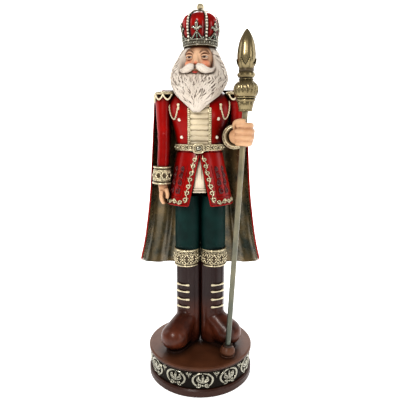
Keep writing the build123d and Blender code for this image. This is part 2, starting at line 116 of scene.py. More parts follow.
def rows_at(sections, height):
    """Smooth interpolation of x, y, z, a, b sections at a height."""
    rows = sorted(sections, key=lambda row: row[2])
    height = max(rows[0][2], min(rows[-1][2], height))
    k = max(i for i in range(len(rows)) if rows[i][2] <= height)
    k = min(k, len(rows) - 2)
    p0, p1, p2, p3 = rows[max(k - 1, 0)], rows[k], rows[k + 1], rows[min(k + 2, len(rows) - 1)]
    u = (height - p1[2]) / (p2[2] - p1[2])
    out = []
    for i in (0, 1, 3, 4):
        m1 = (p2[i] - p0[i]) / (p2[2] - p0[2]) * (p2[2] - p1[2])
        m2 = (p3[i] - p1[i]) / (p3[2] - p1[2]) * (p2[2] - p1[2])
        h = 2 * u ** 3 - 3 * u ** 2 + 1, u ** 3 - 2 * u ** 2 + u, -2 * u ** 3 + 3 * u ** 2, u ** 3 - u ** 2
        out.append(h[0] * p1[i] + h[1] * m1 + h[2] * p2[i] + h[3] * m2)
    return out


def oval(sections, angle, height, lift=0.0):
    """Point on a lofted body. Angle 0 is the front and turns towards +X."""
    x, y, a, b = rows_at(sections, height)
    return Vector((x + (a + lift) * math.sin(angle), y - (b + lift) * math.cos(angle), height))


def lofted(sections, low, high, count, around):
    """Rows of points over a lofted body."""
    return [[oval(sections, a, z) for a in turns(around)] for z in steps(low, high, count)]


def front_angle(sections, x, z):
    cx, _cy, a, _b = rows_at(sections, z)
    return math.asin(max(-0.99, min(0.99, (x - cx) / a)))


def on_front(sections, x, z, lift=0.0):
    """Point on the front of a lofted body at a given x."""
    return oval(sections, front_angle(sections, x, z), z, lift)


def profile_line(points, count, low=0.0):
    """Smooth turned outline through (radius, height above low) points."""
    return [(p.x, p.z) for p in smooth_line([(r, 0, low + z) for r, z in points], count)]


def flat_line(points):
    """Smooth (along, up) line for work laid on a surface."""
    return [(p.x, p.y) for p in smooth_line([(x, y, 0) for x, y in points], 12)]


class Shape:
    """Collects the faces of one piece."""

    def __init__(self):
        self.verts = []
        self.faces = []
        self.mats = []

    def add(self, verts, faces, mat=0):
        first = len(self.verts)
        self.verts += [Vector(v) for v in verts]
        self.faces += [tuple(first + i for i in face) for face in faces]
        self.mats += [mat] * len(faces)

    def grid(self, rows, loop=True, ends=True, mat=0):
        count = len(rows[0])
        verts = [p for row in rows for p in row]
        faces = []
        for i in range(len(rows) - 1):
            for j in range(count if loop else count - 1):
                k = (j + 1) % count
                faces.append((i * count + j, i * count + k, (i + 1) * count + k, (i + 1) * count + j))
        if loop and ends:
            last = (len(rows) - 1) * count
            top = len(verts)
            verts = verts + [sum(rows[0], Vector()) / count, sum(rows[-1], Vector()) / count]
            for j in range(count):
                k = (j + 1) % count
                faces.append((top, k, j))
                faces.append((top + 1, last + j, last + k))
        self.add(verts, faces, mat)

    def tube(self, points, radii, sides=8, flat=1.0, ups=None, mat=0):
        """Round or flattened tube along points, with its radii spread along it."""
        pts = [Vector(p) for p in points]
        rows = []
        side = None
        for i, p in enumerate(pts):
            along = (pts[min(i + 1, len(pts) - 1)] - pts[max(i - 1, 0)]).normalized()
            if ups:
                up = ups[i] - along * ups[i].dot(along)
            elif side is None:
                up = along.orthogonal()
            else:
                up = side - along * side.dot(along)
            up = up.normalized() if up.length > 1e-6 else along.orthogonal().normalized()
            side = up
            across = along.cross(up)
            r = ramp(radii, i / (len(pts) - 1)) if isinstance(radii, (list, tuple)) else radii
            rows.append([
                p + up * (r * flat * math.cos(a)) + across * (r * math.sin(a))
                for a in turns(sides)
            ])
        self.grid(rows, mat=mat)

    def ball(self, centre, semi, rings=10, turn=None, mat=0):
        semi = (semi, semi, semi) if isinstance(semi, (int, float)) else semi
        rows = []
        for i in range(1, rings):
            tilt = math.pi * i / rings
            row = []
            for k in range(rings * 2):
                a = math.pi * k / rings
                p = Vector((semi[0] * math.sin(tilt) * math.cos(a), semi[1] * math.sin(tilt) * math.sin(a),
                            semi[2] * math.cos(tilt)))
                row.append(Vector(centre) + (turn @ p if turn else p))
            rows.append(row)
        self.grid(rows, mat=mat)

    def lathe(self, axis, profile, sides=48, lobes=None, mat=0):
        """Turned shape about an upright axis. lobes(angle, z) scales the radius."""
        rows = []
        for r, z in profile:
            rows.append([
                Vector((axis[0] + r * s * math.cos(a), axis[1] + r * s * math.sin(a), z))
                for a in turns(sides)
                for s in [lobes(a, z) if lobes else 1.0]
            ])
        self.grid(rows, mat=mat)

    def turned(self, angle, centre):
        """Turn everything so far about a vertical line."""
        turn = Matrix.Rotation(angle, 3, "Z")
        middle_point = Vector((centre[0], centre[1], 0))
        self.verts = [turn @ (v - middle_point) + middle_point for v in self.verts]
        return self

    def object(self, name):
        mesh = bpy.data.meshes.new(name)
        mesh.from_pydata([v * MM for v in self.verts], [], self.faces)
        for face, mat in zip(mesh.polygons, self.mats):
            face.material_index = mat
        work = bmesh.new()
        work.from_mesh(mesh)
        bmesh.ops.recalc_face_normals(work, faces=work.faces)
        work.to_mesh(mesh)
        work.free()
        mesh.shade_smooth()
        obj = bpy.data.objects.new(name, mesh)
        bpy.context.scene.collection.objects.link(obj)
        return obj

    def finish(self, name, nodes, slot, *materials):
        """Make the mesh a coloured piece of the figure that stands for the CAD nodes."""
        return finish_piece(self.object(name), "figure", nodes, slot, *materials)


def applied(obj):
    """Bake the modifiers into the mesh."""
    graph = bpy.context.evaluated_depsgraph_get()
    graph.update()
    mesh = bpy.data.meshes.new_from_object(obj.evaluated_get(graph))
    obj.modifiers.clear()
    obj.data = mesh
    mesh.shade_smooth()
    return obj


def fused(shape, name, voxel, rounds):
    """One skin over all the closed shapes, melted together."""
    obj = shape.object(name)
    remesh = obj.modifiers.new("skin", "REMESH")
    remesh.mode = "VOXEL"
    remesh.voxel_size = voxel * MM
    if rounds:
        soft = obj.modifiers.new("soft", "SMOOTH")
        soft.factor = 0.5
        soft.iterations = rounds
    return applied(obj)


def move_points(obj, rule):
    """Shift each point along its normal by rule(point in mm, normal)."""
    mesh = obj.data
    normals = [v.normal.copy() for v in mesh.vertices]
    for v, n in zip(mesh.vertices, normals):
        v.co += n * (rule(v.co / MM, n) * MM)
    mesh.update()


def finish_piece(obj, body, nodes, slot, *materials):
    """Colour a piece, attach it to its body and let it stand for its CAD nodes."""
    chosen = [face.material_index for face in obj.data.polygons]
    obj.data.materials.clear()
    for material in materials:
        obj.data.materials.append(material)
    obj.data.polygons.foreach_set("material_index", chosen)
    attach(obj, body)
    if nodes:
        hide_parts(*nodes)
    return obj


# ---------------------------------------------------------------------------
# Materials
# ---------------------------------------------------------------------------

def add_node(mat, kind, sockets, **settings):
    """New shader node with its settings; each socket gets a value or a link from another node."""
    tree = mat.node_tree
    made = tree.nodes.new(kind)
    for key, value in settings.items():
        setattr(made, key, value)
    plug(mat, made, sockets)
    return made.outputs


def plug(mat, node, sockets):
    """Set the node's input sockets, by name or number, to a value or a link."""
    for key, value in sockets.items():
        if isinstance(value, bpy.types.NodeSocket):
            mat.node_tree.links.new(value, node.inputs[key])
        else:
            node.inputs[key].default_value = value


def blend(mat, amount, low, high):
    """Mix of two colours by the amount; a plain colour has three numbers."""
    sockets = {0: amount, 6: low, 7: high}
    for key in (6, 7):
        if isinstance(sockets[key], (tuple, list)):
            sockets[key] = (*sockets[key], 1)
    return add_node(mat, "ShaderNodeMix", sockets, data_type="RGBA")[2]


def stretch(mat, value, sockets):
    """Map Range node on the value."""
    return add_node(mat, "ShaderNodeMapRange", {"Value": value, **sockets})["Result"]


def paint(name, colour, wash_and_shade, rough=0.35, metal=0.0, coat=0.0, wash_and_shade_strength=0.5, grain=220.0, bump=0.15,
          shade=None, reach=4.0, spread=0.2, sheen=0.5):
    """Hand-painted resin: a colour with slow variation, and a darkening in the hollows that is partly the
    resin's dark wash and partly painted shade.
    """
    mat = bpy.data.materials.new(name)
    mat.use_nodes = True
    place = add_node(mat, "ShaderNodeTexCoord", {})["Object"]
    cloud, fine = [
        add_node(mat, "ShaderNodeTexNoise", {"Scale": size, "Detail": detail, "Vector": place})["Fac"]
        for size, detail in ((28.0, 5.0), (grain, 4.0))]
    # Slow patches of a second tone: random tone on most paints, painted reflections on the cape lining.
    tone_and_reflection_patches = stretch(mat, cloud, {"From Min": 0.5 - spread, "From Max": 0.5 + spread})
    if shade:
        tint = blend(mat, tone_and_reflection_patches, shade, colour)
    else:
        tint = blend(mat, tone_and_reflection_patches, [c * 0.78 for c in colour], [min(1, c * 1.15) for c in colour])
    # Ambient occlusion pulls the colour towards the wash colour in the hollows: the dark wash the painted
    # resin has in its fine work, and painted shade where it reaches into folds, creases and between parts.
    hollow = add_node(mat, "ShaderNodeAmbientOcclusion", {"Distance": reach * MM}, samples=10)["AO"]
    wash_and_shade_mask = stretch(mat, hollow, {"From Min": 0.35, "From Max": 0.95, "To Min": wash_and_shade_strength, "To Max": 0.0})
    washed_and_shaded = blend(mat, wash_and_shade_mask, tint, wash_and_shade)
    gloss = stretch(mat, fine, {"To Min": max(0.03, rough - 0.08 * (1 - metal)),
                                "To Max": rough + 0.1 * (1 - metal)})
    relief = add_node(mat, "ShaderNodeBump",
                      {"Strength": bump, "Distance": 0.0004, "Height": fine})["Normal"]
    plug(mat, mat.node_tree.nodes["Principled BSDF"], {
        "Metallic": metal, "Coat Weight": coat, "Coat Roughness": 0.12, "Specular IOR Level": sheen,
        "Base Color": washed_and_shaded, "Roughness": gloss, "Normal": relief})
    return mat


def brown_paint(name):
    """Satin brown of the base."""
    return paint(name, (0.125, 0.047, 0.021), (0.01, 0.004, 0.002), rough=0.42, coat=0.05, wash_and_shade_strength=0.9,
                 grain=200, bump=0.01, shade=(0.085, 0.03, 0.013), reach=24, sheen=0.25)


# The reach sets how far the darkening in the hollows spreads. Short reaches on the gold, silver and fine work
# keep it to the antique wash. Long reaches on the red coat, crown, cape lining, boots, trousers, base, staff
# and skin paint shade into folds, creases and the gaps between parts.
DARK = (0.02, 0.009, 0.004)
GOLD = paint("antique_gold", (0.66, 0.57, 0.38), (0.015, 0.008, 0.003), rough=0.26, metal=0.6, coat=0.1,
             wash_and_shade_strength=0.97, grain=300, bump=0.02, reach=5)
SILVER = paint("antique_silver", (0.36, 0.345, 0.28), (0.005, 0.004, 0.003), rough=0.2, metal=0.85,
               coat=0.1, wash_and_shade_strength=0.98, grain=300, bump=0.02, reach=5)
STAFF = paint("staff_gold", (0.31, 0.25, 0.135), (0.006, 0.005, 0.003), rough=0.26, metal=0.75,
              coat=0.1, wash_and_shade_strength=0.98, grain=260, bump=0.01, shade=(0.17, 0.13, 0.065), reach=15)
POLE = paint("pole_gold", (0.33, 0.28, 0.17), (0.03, 0.025, 0.02), rough=0.3, metal=0.6, coat=0.1,
             wash_and_shade_strength=0.4, grain=260, bump=0.01, shade=(0.15, 0.145, 0.11))
RED = paint("red_coat", (0.33, 0.003, 0.001), (0.005, 0.0, 0.0), rough=0.3, coat=0.1, wash_and_shade_strength=0.98,
            grain=180, bump=0.01, shade=(0.23, 0.002, 0.001), reach=34, sheen=0.16)
CROWN_RED = paint("crown_red", (0.40, 0.004, 0.001), (0.01, 0.0, 0.0), rough=0.18, coat=0.25,
                  wash_and_shade_strength=0.97, grain=150, bump=0.01, shade=(0.16, 0.001, 0.0), reach=16, sheen=0.25)
CREAM = paint("cream_cloth", (0.56, 0.47, 0.32), (0.07, 0.04, 0.015), rough=0.4, coat=0.1, wash_and_shade_strength=0.97,
              grain=250, bump=0.03, reach=5)
CORD = paint("cream_cord", (0.75, 0.66, 0.46), (0.12, 0.07, 0.03), rough=0.4, metal=0.1, coat=0.2,
             wash_and_shade_strength=0.8, grain=300)
PEARL = paint("pearl", (0.8, 0.72, 0.6), (0.3, 0.2, 0.12), rough=0.2, metal=0.1, coat=0.6, wash_and_shade_strength=0.5,
              grain=200)
HAIR = paint("white_beard", (0.76, 0.69, 0.61), (0.09, 0.055, 0.035), rough=0.5, coat=0.05, wash_and_shade_strength=0.97,
             grain=260, bump=0.03, shade=(0.60, 0.52, 0.44), reach=8, sheen=0.3)
LEATHER = paint("boot_leather", (0.115, 0.029, 0.012), (0.003, 0.001, 0.001), rough=0.34, coat=0.12,
                wash_and_shade_strength=0.95, grain=240, bump=0.01, shade=(0.035, 0.008, 0.004), reach=24, sheen=0.25)
SOLE = paint("dark_sole", (0.03, 0.011, 0.007), DARK, rough=0.45)
GREEN = paint("green_trousers", (0.002, 0.026, 0.022), (0.0, 0.002, 0.002), rough=0.45, wash_and_shade_strength=0.9,
              grain=220, bump=0.01, shade=(0.001, 0.014, 0.012), reach=16, sheen=0.15)
BROWN = brown_paint("base_brown")
BASE = brown_paint("base_drum_brown")
RECESS = paint("dark_recess", (0.010, 0.007, 0.005), (0.003, 0.002, 0.001), rough=0.5, sheen=0.1)
BLACK = paint("black_metal", (0.015, 0.015, 0.016), (0.0, 0.0, 0.0), rough=0.4, metal=0.3)
STEEL = paint("steel", (0.5, 0.5, 0.5), (0.1, 0.1, 0.1), rough=0.3, metal=1.0)
FELT = paint("felt", (0.03, 0.03, 0.03), (0.0, 0.0, 0.0), rough=0.9, bump=0.5)
NYLON = paint("bush_nylon", (0.05, 0.025, 0.015), DARK, rough=0.5)
STONE = paint("ballast", (0.4, 0.39, 0.37), (0.1, 0.1, 0.1), rough=0.8, bump=0.6)
BROW = paint("brow_brown", (0.2, 0.1, 0.05), (0.08, 0.04, 0.02), rough=0.5)
EYE_WHITE = paint("eye_white", (0.8, 0.75, 0.68), (0.3, 0.15, 0.1), rough=0.15, coat=0.6, wash_and_shade_strength=0.5)
IRIS = paint("iris", (0.06, 0.027, 0.012), (0.0, 0.0, 0.0), rough=0.3, coat=0.15, wash_and_shade_strength=0.2, sheen=0.3)
LIP = paint("lip", (0.45, 0.06, 0.04), (0.15, 0.01, 0.01), rough=0.3)
# Cape lining: bronze with blotches of dark olive that are painted reflections of the surroundings in its
# gloss.
CAPE_LINING_REFLECTED = paint("cape_bronze_painted_reflections", (0.22, 0.155, 0.07), (0.035, 0.033, 0.02), rough=0.26, metal=0.3,
                coat=0.15, wash_and_shade_strength=0.6, grain=60, bump=0.01, shade=(0.035, 0.045, 0.034), reach=30,
                spread=0.22)

GOLD_GROUND = paint("gold_ground", (0.085, 0.058, 0.026), (0.01, 0.006, 0.003), rough=0.4, metal=0.3,
                    coat=0.1, wash_and_shade_strength=0.9, grain=300, bump=0.1)
SHIRT = paint("shirt_cream", (0.78, 0.67, 0.52), (0.12, 0.07, 0.03), rough=0.4, coat=0.1, wash_and_shade_strength=0.95,
              grain=250, bump=0.03, reach=9)
RED_DEEP = paint("red_emboss", (0.1, 0.001, 0.002), (0.01, 0.0, 0.0), rough=0.3, coat=0.3, wash_and_shade_strength=0.9,
                 grain=200, bump=0.05)


FACE_SKIN = ((0.77, 0.51, 0.33), (0.69, 0.41, 0.25))
# The hands use a darker copy of the face's skin colours: painted shade on the hands.
HAND_SKIN_SHADED = ((0.66, 0.41, 0.24), (0.52, 0.28, 0.15))


def recolour(mat, change):
    """Run the paint's colour through a change before it reaches the surface."""
    surface = mat.node_tree.nodes["Principled BSDF"]
    now = surface.inputs["Base Color"].links[0].from_socket
    plug(mat, surface, {"Base Color": change(now)})


def skin_paint(name, cheeks, tones):
    """Warm skin with a blush round each of the given points."""
    # Its brown darkening in the hollows is painted shade round the eyes, under the brows and in the fist's
    # creases.
    mat = paint(name, tones[0], (0.15, 0.045, 0.02), rough=0.4, metal=0.0, coat=0.08, wash_and_shade_strength=0.98,
                grain=260, bump=0.02, shade=tones[1], reach=13, sheen=0.35)
    place = add_node(mat, "ShaderNodeTexCoord", {})["Object"]

    def blushed(colour):
        for cheek, radius in cheeks:
            away = add_node(mat, "ShaderNodeVectorMath", {0: place, 1: cheek * MM}, operation="DISTANCE")
            fade = stretch(mat, away["Value"], {"From Max": radius * MM, "To Min": 0.75, "To Max": 0.0})
            colour = blend(mat, fade, colour, (0.78, 0.17, 0.08))
        return colour

    recolour(mat, blushed)
    return mat


def fade_by_height(mat, colour, low, high):
    """Fade to another colour by height: towards the bottom when low is under high, towards the top when they
    are given the other way round.
    """
    place = add_node(mat, "ShaderNodeTexCoord", {})["Generated"]
    height = add_node(mat, "ShaderNodeSeparateXYZ", {0: place})["Z"]
    fade = stretch(mat, height, {"From Min": low, "From Max": high})
    recolour(mat, lambda now: blend(mat, fade, colour, now))


fade_by_height(POLE, (0.085, 0.095, 0.075), 0.1, 0.75)
fade_by_height(BASE, (0.04, 0.013, 0.007), 0.9, 0.97)
# The boot leather turns near black up the shafts and keeps its own colour at the feet: painted shade on the
# shafts.
fade_by_height(LEATHER, (0.017, 0.004, 0.003), 0.6, 0.3)


# ---------------------------------------------------------------------------
# Head
# ---------------------------------------------------------------------------

HEAD_CENTRE = (-1.0, 0.0)
HEAD_TURN = math.radians(-11)
crown_low, crown_high = span("crown_band")
HEAD_TOP = crown_low.z
EYE_Z = HEAD_TOP - 25
EYE_SIDE = 17.5


def turned_point(x, y, z):
    """Point of the head, turned to where the figure looks."""
    turn = Matrix.Rotation(HEAD_TURN, 3, "Z")
    return turn @ Vector((x, y, z)) + Vector((*HEAD_CENTRE, 0))


def head():
    """Face with sockets, cheeks and nose, eyes, lids, brows and lower lip."""
    face = Shape()
    face.ball((0, 0, EYE_Z - 6), (37, 39, 44), 20)
    face.tube([(0, 4, EYE_Z - 85), (0, 4, EYE_Z - 30)], 22, 20)
    for side in (-1, 1):
        face.ball((side * 18, -27, EYE_Z - 16), (13, 12.5, 11), 14)
        face.ball((side * 5.2, -43, EYE_Z - 16.5), (4, 4.4, 3.6), 10)
        face.tube(smooth_line([(side * 6, -36, EYE_Z + 8), (side * 17, -35.5, EYE_Z + 12.5),
                               (side * 28, -27, EYE_Z + 8)], 10), [4, 4.4, 4, 3], 10)
        face.ball((side * 22, -14, EYE_Z - 40), (14, 14, 12), 10)
    face.tube([(0, -36, EYE_Z + 4), (0, -41, EYE_Z - 6), (0, -46, EYE_Z - 14)], [3.6, 4.4, 6.2], 12)
    face.ball((0, -46.5, EYE_Z - 14.5), (6.4, 6, 5.6), 12)
    face.ball((0, -34, EYE_Z - 42), (15, 12, 13), 12)
    face.turned(HEAD_TURN, (0, 0))
    face.verts = [v + Vector((*HEAD_CENTRE, 0)) for v in face.verts]
    obj = fused(face, "face_and_neck", 1.7, 5)
    sockets = [turned_point(side * EYE_SIDE, -35, EYE_Z) for side in (-1, 1)]

    def socket(p, n):
        return -sum(3.4 * math.exp(-((p - c).length / 6.2) ** 2) for c in sockets)

    move_points(obj, socket)
    cheeks = [(turned_point(side * 21, -36, EYE_Z - 17), 17) for side in (-1, 1)]
    cheeks.append((turned_point(0, -52, EYE_Z - 15), 7))
    finish_piece(obj, "figure", ["head"], "skin", skin_paint("face_skin", cheeks, FACE_SKIN))
    eyes = Shape()
    for side in (-1, 1):
        at = turned_point(side * EYE_SIDE, -29.6, EYE_Z)
        eyes.ball(at, (7.2, 7, 6.2), 14, mat=0)
        gaze = turned_point(side * EYE_SIDE - 0.3, -36.1, EYE_Z + 0.6)
        eyes.ball(gaze, (3.5, 1.6, 3.5), 12, Matrix.Rotation(HEAD_TURN, 3, "Z"), mat=1)
    eyes.finish("eyes", [], "skin", EYE_WHITE, IRIS)
    lids = Shape()
    brows = Shape()
    for side in (-1, 1):
        for rise, low, thick in ((3.9, 0.2, 2.0), (-3.6, -0.6, 1.4)):
            arc = []
            for k in range(9):
                a = math.pi * k / 8
                x = side * EYE_SIDE + 8.2 * math.cos(a)
                y = -35.4 - 1.6 * math.sin(a) + 0.10 * (x / 6) ** 2 * 0.9
                arc.append(turned_point(x, y, EYE_Z + low + rise * math.sin(a)))
            lids.tube(arc, [0.5, thick, thick, thick, 0.5], 8)
        for shift in range(3):
            line = [(side * 7, -40, EYE_Z + 9), (side * 16, -40.4, EYE_Z + 14 + 0.4 * shift),
                    (side * 23, -36.5, EYE_Z + 12.4 + 0.3 * shift), (side * 29, -29.5, EYE_Z + 7)]
            line = [turned_point(x, y + 0.5 * shift, z + 1.1 * (shift - 1)) for x, y, z in line]
            brows.tube(smooth_line(line, 14), [0.5, 1.1, 1.1, 0.8, 0.3], 7)
    lids.finish("eyelids", [], "skin", skin_paint("lid_skin", [], FACE_SKIN))
    brows.finish("eyebrows", [], "white_beard", BROW)
    lip = Shape()
    lip.ball(turned_point(0, -60, EYE_Z - 36.5), (6.0, 3.4, 2.4), 10, Matrix.Rotation(HEAD_TURN, 3, "Z"))
    lip.finish("lower_lip", [], "skin", LIP)


BEARD_LOW, BEARD_HIGH = span("beard")
BEARD = [
    (-9, -66, 668, 5, 5),
    (-8, -55, 686, 24, 18),
    (-6, -32, 708, 49, 41),
    (-3, -11, 738, 65, 51),
    (-3, -2, 766, 62, 49),
    (-2, 5, 795, 48, 43),
    (-1, 7, 815, 37, 36),
]
FACE_X = -7.0
FACE_BACK = -20
LOCKS = 800


def beard_mass():
    """Closed mass under the locks, set back where the face shows."""
    mass = Shape()
    rows = []
    for z in steps(BEARD_LOW.z + 1, BEARD_HIGH.z, 46):
        row = []
        for a in turns(72):
            p = oval(BEARD, a, z)
            edge = clamp((p.z - (EYE_Z - 38)) / 9)
            near = clamp((42 - abs(p.x - FACE_X)) / 7)
            if p.y < FACE_BACK:
                p.y += (FACE_BACK - p.y) * edge * near
            row.append(p)
        rows.append(row)
    mass.grid(rows)
    return mass


def beard():
    """Locks laid over the mass from the hair down to the tip."""
    mass = beard_mass()
    skin = BVHTree.FromPolygons(mass.verts, mass.faces)

    def land(turn, z, lift):
        """Point outside the mass at an angle from the front, and the surface's normal."""
        x, y, _a, _b = rows_at(BEARD, z)
        out = Vector((math.sin(turn), -math.cos(turn), 0))
        hit = skin.ray_cast(Vector((x, y, z)) + out * 160, -out)
        if hit[0] is None:
            return oval(BEARD, turn, z, lift), out
        normal = hit[1] if hit[1].dot(out) > 0 else -hit[1]
        return hit[0] + normal * lift, normal

    for _ in range(LOCKS):
        z = random.uniform(BEARD_LOW.z + 10, BEARD_HIGH.z - 2)
        turn = random.uniform(-math.pi, math.pi)
        _x, _y, a, b = rows_at(BEARD, z)
        start, _n = land(turn, z, 0)
        if start.y < -12 and abs(start.x - FACE_X) < 36 and z > EYE_Z - 37:
            continue
        length = random.uniform(20, 34)
        size = random.uniform(2.1, 3.6)
        phase = random.uniform(0, 2 * math.pi)
        points, ups = [], []
        knots = 8
        t, h = turn, z
        for k in range(knots):
            lift = 0.2 + 2.2 * (k / (knots - 1)) ** 2
            p, n = land(t, max(h, BEARD_LOW.z + 1), lift)
            points.append(p)
            ups.append(n)
            upper = clamp((h - 742) / 26)
            spread = math.copysign(min(1.0, abs(t) / 0.5), t) if abs(t) < 2.4 else 0.0
            drift = spread * (0.75 * upper - 0.28 * (1 - upper))
            wave = 0.9 * math.sin(phase + k * 1.2)
            step = length / knots
            radius = max(14.0, (a + b) / 2)
            t += (drift + wave) * step / radius
            h -= step * (0.95 - 0.35 * upper * abs(spread))
        mass.tube(points, [size * 0.5, size, size, size * 0.9, size * 0.7, size * 0.4, 0.15], 7, 0.75, ups)
    obj = mass.object("beard_and_hair")
    finish_piece(obj, "figure", ["beard"], "white_beard", HAIR)


def moustache():
    """Two curled lobes with strands."""
    shape = Shape()
    for side in (-1, 1):
        core = [(1.5, -53, -24), (11, -58, -25.5), (23, -54.5, -31.5), (34.5, -44, -31), (42, -34, -22)]
        line = smooth_line([turned_point(side * x, y, EYE_Z + z) for x, y, z in core], 26)
        thick = [3.2, 7.2, 8.6, 7.6, 5.4, 3.2, 1.0]
        shape.tube(line, thick, 14)
        for k in range(11):
            a = 2 * math.pi * k / 11
            strand = []
            for i, p in enumerate(line):
                t = i / 25
                r = ramp(thick, t) * 0.86
                twist = a + 1.4 * t * side + 0.2 * math.sin(9 * t + k)
                along = (line[min(i + 1, 25)] - line[max(i - 1, 0)]).normalized()
                up = (Vector((0, 0, 1)) - along * along.z).normalized()
                strand.append(p + (up * math.cos(twist) + along.cross(up) * math.sin(twist)) * r)
            shape.tube(strand, [0.8, 1.7, 1.9, 1.8, 1.4, 0.9, 0.4], 7)
    shape.finish("moustache_lobes", ["moustache"], "white_beard", HAIR)


# ---------------------------------------------------------------------------
# Crown
# ---------------------------------------------------------------------------

SEGMENTS = 6
FIRST = HEAD_TURN - math.pi / 2


def crown():
    """Puffed cap, beaded arches, engraved band, lilies, gems and the orb on top."""
    low, high = span("crown_cap")
    base = low.z
    cap = Shape()
    outline = [(30, 0), (35.5, 3), (38, 15), (42.6, 34), (44.2, 48), (42, 60), (35, 70), (22, 75.6), (8, 76),
               (2, 76)]
    line = profile_line(outline, 48, base)

    def puff(angle, z):
        deep = abs(math.cos((angle - FIRST) * SEGMENTS / 2))
        return 0.80 + 0.20 * deep ** 0.42 if z < base + 74 else 1.0

    cap.lathe((0, 0), line, 216, puff)
    cap.finish("crown_puffs", ["crown_cap"], "crown_red", CROWN_RED)

    arches = Shape()
    top = span("crown_arches")[1].z
    for k in range(SEGMENTS):
        angle = FIRST + math.pi / SEGMENTS + 2 * math.pi * k / SEGMENTS
        out, across = spoke(angle)
        path = [(39.5, base + 12), (42.8, base + 32), (43.2, base + 50), (37, base + 67), (20, top - 3),
                (5, top - 1.5)]
        rib = smooth_line([out * r + Vector((0, 0, z)) for r, z in path], 30)
        for side in (-1, 1):
            arches.tube([p + across * 2.5 * side for p in rib], 0.7, 7)
        arches.tube([p - out * 0.9 for p in rib], 2.2, 8, 0.4, [out + Vector((0, 0, 0.4))] * 30, mat=2)
        beads = smooth_line([out * (r + 0.8) + Vector((0, 0, z)) for r, z in path], 15)
        for p in beads[:-1]:
            arches.ball(p + Vector((0, 0, 0.3)), 2.5, 8, mat=1)
    arches.lathe((0, 0), [(9, top - 6), (9.5, top - 3), (7, top), (3, top + 0.5)], 24)
    arches.finish("crown_bead_arches", ["crown_arches"], "crown_silver", SILVER, PEARL, GOLD_GROUND)

    band = Shape()
    z0, z1 = crown_low.z, crown_high.z
    outline = [(36.5, z0), (38.6, z0), (40, z0 + 3), (40.3, z0 + 10), (41.4, z1 - 1), (40.6, z1), (37, z1)]
    band.lathe((0, 0), outline, 72, mat=1)
    for z, r in ((z0 + 1.6, 39.3), (z1 - 1.6, 41.3)):
        band.tube(circle(r, z, 72), 1.25, 8)
    for i, a in enumerate(turns(42)):
        out, across = spoke(a)
        c = out * 40.4 + Vector((0, 0, (z0 + z1) / 2))
        if i % 2:
            band.ball(c, (2.0, 2.0, 3.3), 7)
        else:
            for lean in (-1, 1):
                band.tube([c + across * lean * 2.6 - Vector((0, 0, 3.4)), c + out * 0.7,
                           c - across * lean * 2.6 + Vector((0, 0, 3.4))], 0.8, 6)
    band.finish("crown_band_engraved", ["crown_band"], "crown_silver", SILVER, GOLD_GROUND)

    points = Shape()
    gems = Shape()
    for k in range(SEGMENTS):
        angle = FIRST + 2 * math.pi * k / SEGMENTS
        out, across = spoke(angle)

        def at(s, h, lift=0.0):
            bulge = ramp([40.5, 42.3, 44.3, 45.2, 45.4], h / 42)
            turn = s / 43
            spot = (out * math.cos(turn) + across * math.sin(turn)) * (bulge + lift)
            return spot + Vector((0, 0, z1 - 1 + h))

        points.tube([at(0, 2), at(0, 16)], [2.2, 1.6], 8)
        for side in (-1, 1):
            gable = [at(side * 13.5, 0), at(side * 9, 5), at(side * 4.5, 11), at(0, 17)]
            points.tube(smooth_line(gable, 10), [2.0, 1.7, 1.5], 8)
            petal = [at(0, 21), at(side * 4, 23), at(side * 8.5, 25.5), at(side * 9.8, 22.5)]
            points.tube(smooth_line(petal, 10), [1.8, 2.1, 2.5, 2.2], 9)
            side_base = at(side * 15, 3, 0.5)
            points.ball(side_base, 2.2, 7)
        points.tube(smooth_line([at(0, 18), at(0, 27), at(0, 33), at(0, 40.5)], 10), [2.2, 3.6, 4.2, 0.4], 10)
        points.tube([at(-5.4, 20.5), at(5.4, 20.5)], 1.6, 8)
        points.ball(at(0, 12.5, 1.2), 2.6, 8)
        gems.ball(at(0, 6, 0.6), (2.0, 2.0, 3.0), 8)
    points.finish("crown_lilies", ["crown_points"], "crown_silver", SILVER)
    finish_piece(gems.object("crown_gems"), "figure", [], "crown_silver",
                 paint("green_gem", (0.01, 0.08, 0.04), (0, 0.01, 0.0), rough=0.08, metal=0.0, coat=0.9,
                       wash_and_shade_strength=0.2))
    low, high = span("crown_finial")
    ball = Shape()
    mid = high.z - 8
    ball.lathe((0, 0), [(3.4, low.z), (4.5, low.z + 2), (2.6, low.z + 3.5)], 24)
    ball.lathe((0, 0), [(0.6 + 7.9 * math.sin(math.pi * i / 16), mid - 7.9 * math.cos(math.pi * i / 16))
                        for i in range(17)], 36, lambda a, z: 1 + 0.02 * math.cos(8 * a))
    ball.tube(circle(8.1, mid, 36), 0.9, 7)
    ball.finish("crown_orb", ["crown_finial"], "crown_silver", GOLD)


# ---------------------------------------------------------------------------
# Legs
# ---------------------------------------------------------------------------

LEG_X = 31.0
LACE_TURN = math.radians(27)


LACE_HEIGHTS = (181.5, 202.0, 223.0, 241.0)
LACE_SPAN = 1.02
TONGUE_FOOT = 84
TONGUE_HALF = 14.0 / 29
TONGUE_DEEP = 1.5
MEETING_X = 12
WELT = 2.0


